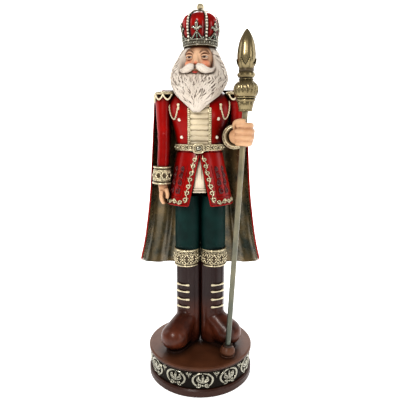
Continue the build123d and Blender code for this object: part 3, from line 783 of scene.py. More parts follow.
def boots():
    """Round-toed boots, each with a sunk laced front."""
    laces = Shape()
    for side, name in ((1, "left_boot"), (-1, "right_boot")):
        low, high = span(name)
        toe_x = high.x - 36 if side > 0 else low.x + 36
        toe = Vector((toe_x * side, low.y + 36, low.z + 30))
        shape = Shape()
        shaft = [(LEG_X, 0, low.z, 26, 27), (LEG_X, -1, low.z + 36, 30, 30),
                 (LEG_X, 0, low.z + 76, 30.8, 28.5), (LEG_X, 1, low.z + 118, 31, 29),
                 (LEG_X, 1, high.z - 46, 31.2, 30), (LEG_X, 1, high.z + 2, 31, 29.5)]
        shape.grid(lofted(shaft, low.z, high.z + 2, 60, 48))
        shape.ball(toe, (35.5, 35.5, 34), 24)
        ankle = Vector((LEG_X, -4, low.z + 62))
        instep = [ankle.lerp(toe, 0.35) + Vector((0, 0, 4)), ankle.lerp(toe, 0.7) + Vector((0, 0, 2))]
        shape.tube([ankle, *instep, toe], [27, 29, 32, 34], 28)
        shape.tube([Vector((LEG_X + 1, 4, low.z + 27)), toe - Vector((2, 0, 4))], [27, 32], 28)
        shape.verts = [Vector((max(v.x, -2.5) * side, v.y, max(v.z, low.z))) for v in shape.verts]
        obj = fused(shape, f"{name}_leather", 2.2, 16)

        def shaped(p, n):
            """Sunk tongue with a rim, inner sides that meet, and a welt at the sole."""
            q = Vector((p.x * side, p.y, p.z))
            turn = math.atan2(q.x - LEG_X + 1, -(q.y - 1)) - LACE_TURN
            out = 0.0
            if q.z > low.z + TONGUE_FOOT and abs(turn) < 1.2:
                edge = clamp((TONGUE_HALF - abs(turn)) / 0.09)
                out -= TONGUE_DEEP * edge * min(1.0, (q.z - low.z - TONGUE_FOOT) / 8)
                out += 0.9 * math.exp(-((abs(turn) - TONGUE_HALF - 0.06) / 0.06) ** 2)
            inward = max(0.0, -n.x * side)
            if q.x < MEETING_X:
                away = max(q.x, 0.0)
                out += inward ** 2 * (away + 0.6) * (1 - (away / MEETING_X) ** 2)
            welt = math.exp(-((q.z - low.z - 1.0) / 1.8) ** 2)
            return out + WELT * welt

        move_points(obj, shaped)
        finish_piece(obj, "figure", [name], "boot_leather", LEATHER)
        for z in LACE_HEIGHTS:
            for tilt in (-0.7, 0.7):
                bar = []
                for i in range(9):
                    a = LACE_TURN + (i / 8 - 0.5) * LACE_SPAN
                    lift = 0.9 + 1.2 * math.cos((i / 8 - 0.5) * math.pi)
                    p = oval(shaft, a, z + tilt * (i - 4) * 0.3, lift)
                    bar.append(Vector((p.x * side, p.y, p.z)))
                laces.tube(bar, [2.6, 1.5, 1.5, 1.5, 2.6], 8)
            for end in (-0.5, 0.5):
                p = oval(shaft, LACE_TURN + end * LACE_SPAN, z, 1.0)
                laces.ball(Vector((p.x * side, p.y, p.z)), 2.9, 8)
    laces.finish("lace_bars", ["boot_laces"], "cream_cord", CORD)


def scroll(centre, size, start, laps, hand=1, count=14):
    """Flat spiral from its open end in towards its eye."""
    line = []
    for i in range(count):
        t = i / (count - 1)
        r = size * (1 - 0.82 * t)
        a = start + hand * laps * 2 * math.pi * t
        line.append((centre[0] + r * math.cos(a), centre[1] + r * math.sin(a)))
    return line


def filigree(shape, surface, lines, radii, sides=7):
    """Lay flat lines of (along, up) onto a surface as raised rope work."""
    for line in lines:
        shape.tube([surface(s, h) for s, h in line], radii, sides)


def knee_cuffs():
    """Openwork cuffs over the tops of the boots."""
    for side, name in ((1, "left_knee_cuff"), (-1, "right_knee_cuff")):
        low, high = span(name)
        centre = (low + high) / 2
        a = (high.x - low.x) / 2 - 2.4
        b = (high.y - low.y) / 2 - 2.4
        z0, z1 = low.z, high.z
        body = [(centre.x, centre.y, z0 - 1, a - 2, b - 2), (centre.x, centre.y, z0 + 6, a, b),
                (centre.x, centre.y, z1 - 6, a, b), (centre.x, centre.y, z1 + 1, a - 2, b - 2)]
        mean = (a + b) / 2

        def on(s, h, lift=0.2):
            p = oval(body, s / mean, z0 + h, lift)
            return Vector((p.x if p.x * side > 0.4 else 0.4 * side, p.y, p.z))

        shape = Shape()
        rows = [[on(mean * a, h, -0.6) for a in turns(72)] for h in steps(0.5, z1 - z0 - 0.5, 17)]
        shape.grid(rows, mat=1)
        lap = 2 * math.pi * mean
        height = z1 - z0
        for h, r in ((2.6, 2.4), (8.4, 1.2), (height - 12, 1.3), (height - 2.6, 2.6)):
            shape.tube([on(lap * k / 72, h, 0.4) for k in range(73)], r, 8)
        cells = 10
        step = lap / cells
        mid, half = (8.4 + height - 12) / 2, (height - 20.4) / 2
        for k in range(cells):
            s = k * step
            for up in (1, -1):
                slant = [(s + step * i / 6, mid + up * (i / 3 - 1) * half) for i in range(7)]
                filigree(shape, on, [slant], 1.7)
            for quarter in (-1, 1):
                shape.ball(on(s + step / 2, mid + quarter * half * 0.66, 0.9), (2.7, 2.2, 3.0), 7)
            shape.ball(on(s + step / 2, mid, 1.3), 3.0, 8)
            for hand in (-1, 1):
                shape.ball(on(s + hand * step * 0.22, mid, 0.8), (2.6, 2.2, 2.4), 7)
        for k in range(cells * 2):
            s = k * step / 2
            arch = [(s, height - 11), (s + step / 4, height - 5.5), (s + step / 2, height - 11)]
            filigree(shape, on, [arch], 1.15)
            shape.ball(on(s, height - 6.4, 0.6), 1.4, 6)
        shape.finish(f"{name}_filigree", [name], "antique_gold", GOLD, GOLD_GROUND)


def trousers():
    """Trouser legs with a slight sag above the cuffs."""
    for side, name in ((1, "left_trouser_leg"), (-1, "right_trouser_leg")):
        low, high = span(name)
        legs = [(LEG_X, 0, low.z, 27, 28), (LEG_X, 0, low.z + 38, 31, 30), (LEG_X, 0, low.z + 104, 32, 31.5),
                (LEG_X, 0, high.z, 32, 32.5)]
        rows = []
        for i in range(70):
            z = low.z + (high.z - low.z) * i / 69
            row = []
            for a in turns(64):
                drift = 1.2 * math.sin(z * 0.05)
                fold = 0.9 * math.sin(3 * a + z * 0.045) + 0.7 * math.sin(5 * a - z * 0.03 + drift)
                sag = 1.4 * math.exp(-((z - low.z - 42) / 9) ** 2) * math.sin(0.35 * z + 2 * a)
                p = oval(legs, a, z, 0.4 * fold + 0.6 * sag)
                row.append(Vector((max(p.x, -0.6) * side, p.y, p.z)))
            rows.append(row)
        shape = Shape()
        shape.grid(rows)
        shape.finish(f"{name}_cloth", [name], "green_trousers", GREEN)


# ---------------------------------------------------------------------------
# Coat
# ---------------------------------------------------------------------------

TORSO_X = -2.0
TORSO = [
    (TORSO_X, 1, 576, 55, 49), (TORSO_X, 0, 605, 58, 52), (TORSO_X, -1, 645, 67, 57),
    (TORSO_X, 1, 682, 75, 55), (TORSO_X, 4, 706, 68, 44), (TORSO_X, 8, 722, 42, 32),
]
SKIRT = [
    (TORSO_X, 0, 450, 82, 69), (TORSO_X, 0, 495, 73, 63),
    (TORSO_X, 0, 540, 63, 56), (TORSO_X, 1, 576, 55.5, 49.5),
]
CHEST_HALF = 22.0


def coat_front():
    """Pleated waistcoat, beaded lapels, twisted chest cords and buttons."""
    low, high = span("waistcoat_front")
    vest = Shape()
    rows = []
    for i in range(120):
        z = low.z + (high.z - low.z - 4) * i / 119
        pleat = (z - low.z) / 12.6
        ridge = abs(math.sin(math.pi * pleat)) ** 0.4
        row = []
        for k in range(25):
            x = TORSO_X + (k / 12 - 1) * (CHEST_HALF + 0.5)
            tilt = 0.35 * math.sin(0.35 * (x + z * 0.2))
            row.append(oval(TORSO, front_angle(TORSO, x, z), z + tilt * 0.6, -3.4 + 4.2 * ridge))
        rows.append(row)
    back = [[p + Vector((0, 6, 0)) for p in row] for row in rows]
    vest.grid([r + list(reversed(b)) for r, b in zip(rows, back)])
    vest.finish("waistcoat_pleats", ["waistcoat_front"], "cream_shirt", CREAM)

    trims = Shape()
    belt_top = span("belt")[1].z
    for side in (-1, 1):
        for k in range(19):
            z = belt_top + 2 + k * 4.4
            x = TORSO_X + side * (CHEST_HALF + 2.2)
            trims.ball(on_front(TORSO, x, z, 0.6), (3.4, 2.2, 2.3), 8)
        for inset, r in ((-0.6, 1.1), (4.4, 0.9)):
            line = []
            for k in range(28):
                z = belt_top + 0.6 + k * 3
                x = TORSO_X + side * (CHEST_HALF + inset)
                line.append(on_front(TORSO, x, z, 0.4))
            trims.tube(line, r, 7)
    trims.finish("beaded_lapels", ["lapel_trims"], "antique_gold", GOLD)

    cords = Shape()
    for side in (-1, 1):
        ends = ((70, 694), (69, 674), (64, 657), (57, 652), (52, 664), (48, 684))
        line = []
        for x, z in ends:
            line.append(on_front(TORSO, TORSO_X + side * x, z, 1.2))
        path = smooth_line(line, 54)
        for turn in (0, math.pi):
            twist = []
            for i, p in enumerate(path):
                a = turn + i * 0.9
                along = (path[min(i + 1, 53)] - path[max(i - 1, 0)]).normalized()
                up = along.orthogonal().normalized()
                twist.append(p + (up * math.cos(a) + along.cross(up) * math.sin(a)) * 0.9)
            cords.tube(twist, 1.25, 7)
        cords.ball(line[-1] + Vector((0, -1, 0)), (3.4, 2.6, 3.4), 8)
        for k in range(3):
            hang = line[-1] + Vector((side * (1.4 - k * 1.4), -1.4, -3))
            cords.tube([hang, hang - Vector((0, 0.2, 9))], [1.2, 0.9], 6)
    cords.finish("chest_cord_loops", ["chest_cords"], "cream_cord", CORD)

    buttons = Shape()
    for x, z in ((-48, 650), (-43, 610), (41, 652), (38, 610)):
        spot = on_front(TORSO, x, z, 0.8)
        buttons.ball(spot, (3.2, 2.2, 3.2), 12)
        ring = [spot + Vector((3.2 * math.cos(a), -0.6, 3.2 * math.sin(a))) for a in
                [2 * math.pi * i / 24 for i in range(25)]]
        buttons.tube(ring, 0.7, 6)
    buttons.finish("pearl_buttons", ["coat_buttons"], "pearl", PEARL)


BELT_R = 58


def belt():
    """Belt of rings and scrolls, with its buckle."""
    low, high = span("belt")
    shape = Shape()
    z0, z1 = low.z, high.z
    lap = 2 * math.pi * BELT_R

    def on(s, h, lift=0.0):
        return oval(TORSO, s / BELT_R, z0 + h, 2.6 + lift)

    height = z1 - z0
    rows = [[on(lap * k / 96, h, 0.0 if 0.5 < h < height - 0.5 else -1.5) for k in range(96)]
            for h in (0, 1, height / 2, height - 1, height)]
    shape.grid(rows, mat=1)
    for h in (1.4, height - 1.4):
        shape.tube([on(lap * k / 96, h, 0.3) for k in range(97)], 1.4, 8)
    count = 18
    for k in range(count):
        s = lap * k / count
        ring = [(s + 5.4 * math.cos(a), height / 2 + 4.9 * math.sin(a)) for a in
                [2 * math.pi * i / 14 for i in range(15)]]
        filigree(shape, on, [ring], 1.5)
        shape.ball(on(s, height / 2, 0.6), (3.2, 3.2, 3.0), 8)
        for hand in (-1, 1):
            filigree(shape, on, [scroll((s + lap / count / 2, height / 2 + hand * 3), 3.0, 0, 0.8, hand, 8)],
                     [1.4, 1.0])
    shape.finish("belt_filigree", ["belt", "belt_medallions"], "antique_gold", GOLD, GOLD_GROUND)
    low, high = span("belt_buckle")
    centre = (low + high) / 2
    buckle = Shape()
    w, h = (high.x - low.x) / 2 - 1, (high.z - low.z) / 2 - 0.5

    def oblong(scale, y, power=0.62):
        out = []
        for i in range(49):
            a = 2 * math.pi * i / 48
            ca, sa = math.cos(a), math.sin(a)
            out.append(Vector((centre.x + scale * w * math.copysign(abs(ca) ** power, ca), y,
                               centre.z + scale * h * math.copysign(abs(sa) ** power, sa))))
        return out

    plate = [oblong(0.98, high.y - 0.5)[:-1], oblong(0.98, centre.y)[:-1], oblong(0.7, centre.y - 1.0)[:-1]]
    buckle.grid(plate, mat=1)
    buckle.tube(oblong(0.95, centre.y - 0.4), 2.3, 8)
    buckle.tube(oblong(0.62, centre.y - 1.6, 0.8), 1.2, 8)
    for i in range(16):
        p = oblong(0.78, centre.y - 1.2)[i * 3]
        buckle.ball(p, 1.3, 6)
    buckle.finish("buckle_plate", ["belt_buckle"], "antique_gold", GOLD, GOLD_GROUND)
    gem = Shape()
    gem.ball((centre.x, low.y + 3.2, centre.z), (6.6, 3.2, 5.2), 12)
    gem.finish("buckle_stone", [], "antique_gold", SILVER)


def notch_half(z):
    """Half width of the coat's front opening."""
    return 1.0 + 26.0 * max(0.0, (570.0 - z) / 120.0)


def skirt():
    """The coat's skirt with its raised, gold and embossed work, and the shirt tail."""
    low_z, high_z = span("left_skirt_panel")[0].z, span("left_skirt_panel")[1].z
    for side, name in ((1, "left_skirt_panel"), (-1, "right_skirt_panel")):
        front, back = [], []
        for i in range(50):
            z = low_z + (high_z - low_z) * i / 49
            first = front_angle(SKIRT, TORSO_X + side * notch_half(z), z)
            outer, inner = [], []
            for k in range(70):
                a = first + (side * (math.pi - 0.004) - first) * k / 69
                flare = (high_z - z) / (high_z - low_z)
                fold = 0.35 * flare * math.sin(9 * a + 1.1) * min(1, abs(a - first) * 2)
                outer.append(oval(SKIRT, a, z, fold))
                inner.append(oval(SKIRT, a, z, fold - 4.6))
            front.append(outer)
            back.append(inner)
        shape = Shape()
        shape.grid([o + list(reversed(n)) for o, n in zip(front, back)])
        shape.finish(f"{name}_cloth", [name], "red_coat", RED)

    trim = Shape()
    raised = Shape()
    emboss = Shape()
    for side in (-1, 1):
        def on(s, h, lift=0.5):
            """s runs away from the opening's edge, h up from the hem."""
            z = low_z + h
            _x, _y, a, b = rows_at(SKIRT, z)
            first = front_angle(SKIRT, TORSO_X + side * notch_half(z), z)
            return oval(SKIRT, first + side * s / ((a + b) / 2), z, lift)

        height = high_z - low_z - 8
        raised.tube([on(0.4, h, 0.0) for h in [1.0 + (height + 6) * i / 30 for i in range(31)]], 2.3, 8)
        around_hem = 195
        raised.tube([on(0.4 + around_hem * i / 60, 1.4, 0.0) for i in range(61)], 2.3, 8)
        for k in range(7):
            h = 15 + k * 15.6
            hand = 1 if k % 2 else -1
            size = 6.8 - 0.3 * k
            s0 = 9.5 - 0.4 * k
            curl = [(s0 - 1.5 * hand, h), size, -math.pi / 2, 1.2, hand, 18]
            filigree(trim, on, [scroll(*curl)], [0.8, 1.6, 1.5, 1.0])
            stem = [(s0 - 1.5 * hand, h - size), (s0 + 3.0 * hand, h - size * 0.2),
                    (s0 + 1.2 * hand, h + 15.6 - size)]
            filigree(trim, on, [flat_line(stem)], [1.1, 1.9, 1.0])
            filigree(trim, on, [[(s0 + 3 * hand, h + 1), (s0 + 7.5 * hand, h + 5)]], [1.6, 0.7])
        for k in range(12):
            along = 22 + k * 16.0
            hand = 1 if k % 2 else -1
            filigree(trim, on, [scroll((along, 9 + hand), 5.4, math.pi, 1.2, hand, 18)], [1.0, 1.8, 1.7, 1.1])
            stem = [(along - 5.4, 9 + hand), (along + 2, 9 + hand * 5.5), (along + 10.6, 9 - hand)]
            filigree(trim, on, [flat_line(stem)], [1.3, 1.6, 1.3])
        raised.tube([on(21, h, 0.2) for h in [20 + (height - 44) * i / 20 for i in range(21)]], 1.1, 6)
        raised.tube([on(21 + 66 * i / 20, 20, 0.2) for i in range(21)], 1.1, 6)
        for h, size, hand in ((35, 8.5, 1), (54, 7.5, -1), (71, 6.5, 1), (86, 5.5, -1)):
            for s0 in (33, 54):
                curl = scroll((s0 + hand * 2, h), size, math.pi / 2, 1.3, hand, 20)
                filigree(emboss, on, [curl], [1.6, 1.5, 1.0])
                leaf = [(s0 - 6, h - 8), (s0 - 1, h - 2), (s0 - 4, h + 6)]
                filigree(emboss, on, [flat_line(leaf)], [0.7, 1.8, 0.6])
    emboss.finish("skirt_embossed_leaves", [], "red_coat", RED_DEEP)
    trim.finish("skirt_gold_scrolls", ["skirt_scroll_trim"], "antique_gold", GOLD)
    raised.finish("skirt_raised_scrolls", [], "red_coat", RED)

    tail = Shape()
    top, bottom = span("shirt_tail")[1].z, span("shirt_tail")[0].z
    rows = []
    for i in range(50):
        z = bottom + (top - bottom) * i / 49
        half = 3 + 15 * (top - z) / (top - bottom)
        row = []
        for k in range(21):
            x = TORSO_X + (k / 10 - 1) * half
            ribs = 0.8 * math.sin(z * 1.6) if z < bottom + 11 else 0.5 * math.sin(x * 0.9)
            row.append(on_front(SKIRT, x, z, -7.2 + ribs))
        rows.append(row)
    back = [[p + Vector((0, 3, 0)) for p in row] for row in rows]
    for row in (rows[1], rows[4]):
        tail.tube([p - Vector((0, 0.6, 0)) for p in row], 1.7, 8)
    tail.grid([r + list(reversed(b)) for r, b in zip(rows, back)])
    tail.finish("shirt_tail_cloth", ["shirt_tail"], "cream_shirt", SHIRT)


def cape():
    """Thin folded cape, red outside and bronze inside."""
    low, high = span("cape")
    sections = [
        (0, 30, 240, 168, 92), (0, 27, 300, 157, 86), (0, 25, 340, 147.5, 80), (0, 22, 395, 138, 73),
        (0, 20, 476, 128, 67), (0, 20, 577, 121, 62), (0, 18, 660, 115, 56), (0, 16, 704, 110, 50),
        (0, 14, 722, 92, 42),
    ]
    columns = 120
    rows = []
    for i in range(90):
        t = i / 89
        row = []
        for k in range(columns + 1):
            u = k / columns * 2 - 1
            hem = low.z + 8 + (290 - low.z) * abs(u) ** 2.2
            z = hem + (high.z - hem) * t
            z = min(z, high.z)
            cx, cy, a, b = rows_at(sections, z)
            start = math.asin(max(-1, min(1, (13.5 - cy) / b)))
            turn = math.pi / 2 + (math.pi / 2 - start) * u
            loose = clamp((690 - z) / 220)
            depth = 2.2 + 5.3 * clamp((0.66 - abs(u)) / 0.3)
            edge = min(1.0, (1 - abs(u)) * 6)
            fold = loose * depth * (math.cos(u * 17.5 + 0.4) - 0.95) * (0.25 + 0.75 * edge) - 0.6
            row.append(Vector((cx - (a + fold) * math.cos(turn) * -1, cy + (b + fold) * math.sin(turn), z)))
        rows.append(row)
    for shrink in (0.93, 0.8, 0.62, 0.5):
        back = max(0.86, shrink)
        rows.append([Vector((p.x * shrink, 14 + (p.y - 14) * back, high.z - 0.4)) for p in rows[89]])
    shape = Shape()
    shape.grid(rows, loop=False)
    obj = shape.object("cape_shell")
    for material in (RED, CAPE_LINING_REFLECTED, RED):
        obj.data.materials.append(material)
    thick = obj.modifiers.new("thick", "SOLIDIFY")
    thick.thickness = 4.0 * MM
    thick.offset = -1
    thick.material_offset = 1
    thick.material_offset_rim = 2
    applied(obj)
    finish_piece(obj, "figure", ["cape"], "cape_red", RED, CAPE_LINING_REFLECTED, RED)


def sleeves():
    """Hanging right sleeve and bent left sleeve."""
    right = Shape()
    arm = [(-90, -14, 536, 15.5, 17), (-87, -8, 600, 16, 19), (-87, -3, 660, 19, 23), (-86, 0, 704, 22, 24)]
    right.grid(lofted(arm, 536, 704, 80, 40))
    right.ball((-86, 0, 692), (22.5, 25, 19.5), 20)
    obj = fused(right, "right_sleeve_cloth", 2.2, 16)

    def wrinkle(p, n):
        tilt = 0.32 * p.z + 0.05 * p.x + 1.6 * math.sin(0.035 * p.z)
        bands = math.exp(-((p.z - 618) / 30) ** 2) + 0.7 * math.exp(-((p.z - 548) / 14) ** 2)
        return 0.45 * bands * math.sin(tilt + 0.09 * p.y)

    move_points(obj, wrinkle)
    finish_piece(obj, "figure", ["right_sleeve"], "red_coat", RED)
    left = Shape()
    elbow = (90, 14, 606)
    left.tube(smooth_line([(87, -1, 696), (88, 4, 655), elbow], 16), [22, 20, 18.5], 24)
    left.tube(smooth_line([elbow, (86, -14, 607), (81, -42, 611)], 12), [18.5, 17.5, 17], 24)
    left.ball(elbow, 18.5, 16)
    left.ball((86, 0, 692), (22.5, 25, 19.5), 20)
    obj = fused(left, "left_sleeve_cloth", 2.2, 12)

    def bend_folds(p, n):
        near = math.exp(-((p - Vector((88, 0, 612))).length / 32) ** 2)
        return 1.3 * near * math.sin(0.42 * (p.z + p.y * 0.7))

    move_points(obj, bend_folds)
    finish_piece(obj, "figure", ["left_sleeve"], "red_coat", RED)


def ring_on(centre, axis, across, radius, angle):
    """Point on a ring about any axis."""
    up = axis.cross(across)
    return centre + (across * math.sin(angle) - up * math.cos(angle)) * radius


def cuff_piece(name, node, start, end, r_start, r_end):
    """Flared cuff round a limb, with rims, a lattice and scrolls."""
    start, end = Vector(start), Vector(end)
    axis = (end - start).normalized()
    across = Vector((1, 0, 0)) - axis * axis.x
    across.normalize()
    length = (end - start).length

    def on(s, h, lift=0.0):
        t = h / length
        r = r_start + (r_end - r_start) * t + lift
        return ring_on(start + axis * h, axis, across, r, s)

    shape = Shape()
    outer = [[on(a, length * i / 10) for a in turns(60)] for i in range(11)]
    inner = [[on(a, length * i / 10, -5) for a in turns(60)] for i in (10, 0)]
    shape.grid(outer + inner + [outer[0]], ends=False, mat=1)
    closed = [on(a, length - 4, -4) for a in turns(60)]
    shape.grid([closed, [p - axis * 3 for p in closed]], mat=1)
    for h, r in ((1.5, 2.1), (8, 1.0), (length - 8, 1.0), (length - 1.5, 2.3)):
        shape.tube([on(2 * math.pi * k / 60, h, 0.4) for k in range(61)], r, 8)
    cells = 9
    mid, half = length / 2, length / 2 - 8
    for k in range(cells):
        s = 2 * math.pi * k / cells
        step = 2 * math.pi / cells
        for up in (-1, 1):
            filigree(shape, on, [[(s + step * i / 8, mid + up * (i / 4 - 1) * half) for i in range(9)]], 1.8)
        shape.ball(on(s + step / 2, mid, 0.8), 3.2, 8)
        for up in (-1, 1):
            for hand in (-1, 1):
                r = (r_start + r_end) / 2
                flat = scroll((0, 0), half * 0.42, -up * math.pi / 2, 1.0, hand * up, 12)
                line = [(s + (x + hand * half * 0.42) / r, mid + up * half * 0.55 + y) for x, y in flat]
                filigree(shape, on, [line], [1.6, 1.4, 1.0])
        shape.ball(on(s, mid + half * 0.6, 0.6), 2.2, 7)
        shape.ball(on(s, mid - half * 0.6, 0.6), 2.2, 7)
    shape.finish(name, [node], "antique_gold", GOLD, GOLD_GROUND)


def cuffs():
    """Both sleeve cuffs."""
    low, high = span("right_cuff")
    mid = (low + high) / 2
    wrist = (mid.x, mid.y, low.z + 1)
    cuff_piece("right_cuff_filigree", "right_cuff", (mid.x + 1, mid.y, high.z), wrist, 19.5, 22)
    cuff_piece("left_cuff_filigree", "left_cuff", (80.4, -32, 610.8), (79, -62, 612), 27, 22)


def epaulettes():
    """Shoulder plates with beads and hanging cords."""
    for side, name in ((-1, "right_epaulette"), (1, "left_epaulette")):
        shape = Shape()
        centre = Vector((side * 84, -4, 709))
        rows = []
        for r, dz in ((0.9, -1.0), (1.0, 0.6), (1.02, 2.6), (0.98, 4.6), (0.86, 5.8), (0.6, 6.0), (0.2, 6.2)):
            rows.append([centre + Vector((25 * r * math.sin(a), -27 * r * math.cos(a), dz))
                         for a in turns(60)])
        shape.grid(rows)
        rim = [centre + Vector((25.2 * math.sin(a), -27.2 * math.cos(a), 1.8))
               for a in turns(60) + [2 * math.pi]]
        shape.tube(rim, 1.6, 8)
        for a in turns(30):
            shape.ball(centre + Vector((22 * math.sin(a), -24 * math.cos(a), 5.2)), 1.5, 6)
        shape.finish(f"{name}_plate", [name], "antique_gold", GOLD)
        swags = Shape()
        for a0, a1 in ((-40, 6), (6, 52), (52, 98)):
            line = []
            for i in range(13):
                t = i / 12
                a = math.radians(a0 + (a1 - a0) * t) * side
                drop = 11.0 * math.sin(math.pi * t)
                line.append(centre + Vector((26.2 * math.sin(a), -28.2 * math.cos(a), -1.5 - drop)))
            for shift in (-0.8, 0.8):
                swags.tube([p + Vector((0, 0, shift)) for p in line], 1.35, 7)
            swags.ball(line[0], 2.4, 7)
        drop_at = centre + Vector((side * 24, -12, -4))
        swags.tube([drop_at, drop_at - Vector((0, 0, 6)), drop_at - Vector((0, 0, 15))], [1.2, 3.0, 1.4], 9)
        swags.finish(f"{name}_cords", [], "cream_cord", CORD)


# ---------------------------------------------------------------------------
# Hands
# ---------------------------------------------------------------------------

FIST_Z = 617
FINGER_STEP = 12.6
STAFF_LEAN = Vector((0.053, -0.026, 0))


def hands():
    """Hanging right hand and left fist round the staff."""
    skin = skin_paint("hand_skin", [], HAND_SKIN_SHADED)
    hand = Shape()
    hand.ball((-89, -19, 484), (12.5, 12, 17), 16)
    hand.tube([(-91, -17, 512), (-90, -18, 490)], [12.5, 12.5], 20)
    for k in range(4):
        y = -33 + k * 8.2
        x = -93 + 1.2 * k
        tip = 449 if k in (1, 2) else 451
        finger = [(x, y + 2, 482), (x - 1.5, y, 470), (x + 0.5, y + 0.5, 459), (x + 4.5, y + 1, tip)]
        hand.tube(smooth_line(finger, 10), [5.2, 5.2, 4.8, 4.0], 12)
    hand.tube(smooth_line([(-83, -30, 487), (-79, -35, 475), (-80, -36, 464)], 8), [5.6, 5.2, 4.2], 12)
    finish_piece(fused(hand, "right_hand_skin", 1.3, 3), "figure", ["right_hand"], "skin", skin)

    fist = Shape()
    pole = Vector((96, -90.6, FIST_Z))
    fist.ball((97, -76, 616), (16, 12, 25), 18)
    fist.ball((101.5, -88, 616), (18.5, 14, 27), 18)
    fist.tube([(80, -54, 611.5), (87, -66, 613), (94, -76, 615)], [18, 18, 17], 24)
    for k in range(4):
        z = FIST_Z + (1.5 - k) * FINGER_STEP
        lean = STAFF_LEAN * (z - FIST_Z)
        centre = pole + lean
        reach = 17.2 - 3.0 * abs(k - 1.5)
        path = []
        for degrees in (50, 20, -12, -45, -80, -115, -150, -175):
            a = math.radians(degrees)
            x = centre.x + (reach + 1.9) * math.cos(a) - 0.5
            path.append(Vector((x, centre.y + (reach - 1.2) * math.sin(a), z)))
        fist.tube(smooth_line(path, 22), [6.6, 6.9, 7.1, 6.8, 6.8, 6.5, 6.2, 5.4], 14)
        fist.ball(path[3] + Vector((0.6, -0.6, 0)), 7.3, 12)
    thumb = [(80, -66, 630), (78, -84, 641), (86, -99, 645), (98, -103, 645)]
    fist.tube(smooth_line(thumb, 14), [7, 7, 6.4, 5.4], 14)
    finish_piece(fused(fist, "left_fist_skin", 1.3, 6), "figure", ["left_fist"], "skin", skin)


# ---------------------------------------------------------------------------
# Base and staff
# ---------------------------------------------------------------------------

MEDALLIONS = 12
MEDALLION_HALF = 23.8
MEDALLION_RISE = 18.0


def base_relief():
    """Scroll medallions and small leaves round the base."""
    low, high = span("base_frieze_band")
    radius = (high.x - low.x) / 2
    z = (low.z + high.z) / 2
    shape = Shape()
    leaves = Shape()
    gap = 2 * math.pi / MEDALLIONS
    first = math.radians(2.6)
    for k in range(MEDALLIONS):
        turn = first + gap * k

        def on(s, h, lift=0.6):
            a = turn + s / radius
            return Vector(((radius + lift) * math.sin(a), -(radius + lift) * math.cos(a), z + h))

        for side in (-1, 1):
            outer = []
            for i in range(26):
                t = i / 25
                a = math.pi / 2 - side * (0.05 + t * 2.45)
                outer.append((MEDALLION_HALF * math.cos(a), 0.5 + MEDALLION_RISE * math.sin(a)))
            filigree(shape, on, [outer], [2.2, 3.0, 3.4, 3.2, 2.6], 9)
            start = -0.6 if side > 0 else math.pi + 0.6
            foot = scroll((side * 9.5, -12.4), 6.2, start, 1.05, -side, 20)
            filigree(shape, on, [foot], [2.5, 2.1, 1.7], 9)
            shape.ball(on(side * 9.8, -12.0, 1.2), 2.6, 8)
            upper = flat_line([(side * 2, -3), (side * 8.5, 3), (side * 12, 7), (side * 8.5, 10)])
            filigree(shape, on, [upper], [1.8, 3.6, 3.2, 1.8], 9)
            lower = flat_line([(side * 1.5, -4), (side * 8, -3.5), (side * 13, -0.5), (side * 14, 3.5)])
            filigree(shape, on, [lower], [1.6, 2.6, 2.2, 1.4], 9)
        filigree(shape, on, [flat_line([(0, -6), (0, 2), (0, 8), (0, 15)])], [1.8, 3.6, 3.9, 0.8], 10)
        filigree(shape, on, [[(-6, -5.4), (0, -6.4), (6, -5.4)]], 2.0, 8)
        shape.ball(on(0, -13, 0.8), (3.4, 3.4, 3.0), 8)
        turn = first + gap * (k + 0.5)
        for lean, size in ((-0.7, 8.5), (-0.25, 10.5), (0.25, 10.5), (0.7, 8.5)):
            leaf = [(lean * 2, 10), (lean * size * 0.75, 10 + size * 0.55), (lean * size * 1.25, 10 + size)]
            filigree(leaves, on, [leaf], [1.2, 2.1, 0.8], 8)
        leaves.ball(on(0, 9.5, 0.8), 2.2, 7)
        filigree(leaves, on, [[(0, 9), (0, 2)]], [1.3, 0.5], 7)
    medallions = shape.object("base_scrollwork")
    finish_piece(medallions, "figure", ["base_scroll_medallions"], "antique_silver", SILVER)
    leaves.finish("base_leaves", ["base_palmettes"], "antique_silver", SILVER)


def staff_socket():
    """Rounded socket for the foot of the staff."""
    low, high = span("staff_boss")
    centre = middle("staff_boss")
    height = high.z - low.z
    outline = [(17.2, 0), (17.5, 2), (16.0, 4), (18.5, 9), (18.3, 15), (15.6, 20.5), (11.9, height),
               (11.6, height)]
    shape = Shape()
    shape.lathe((centre.x, centre.y), profile_line(outline, 40, low.z), 64)
    shape.finish("staff_socket_ball", ["staff_boss"], "base_brown", BROWN)


KNOP_FOOT = 693
PETAL_FOOT = 751
FLAME_FOOT = 756


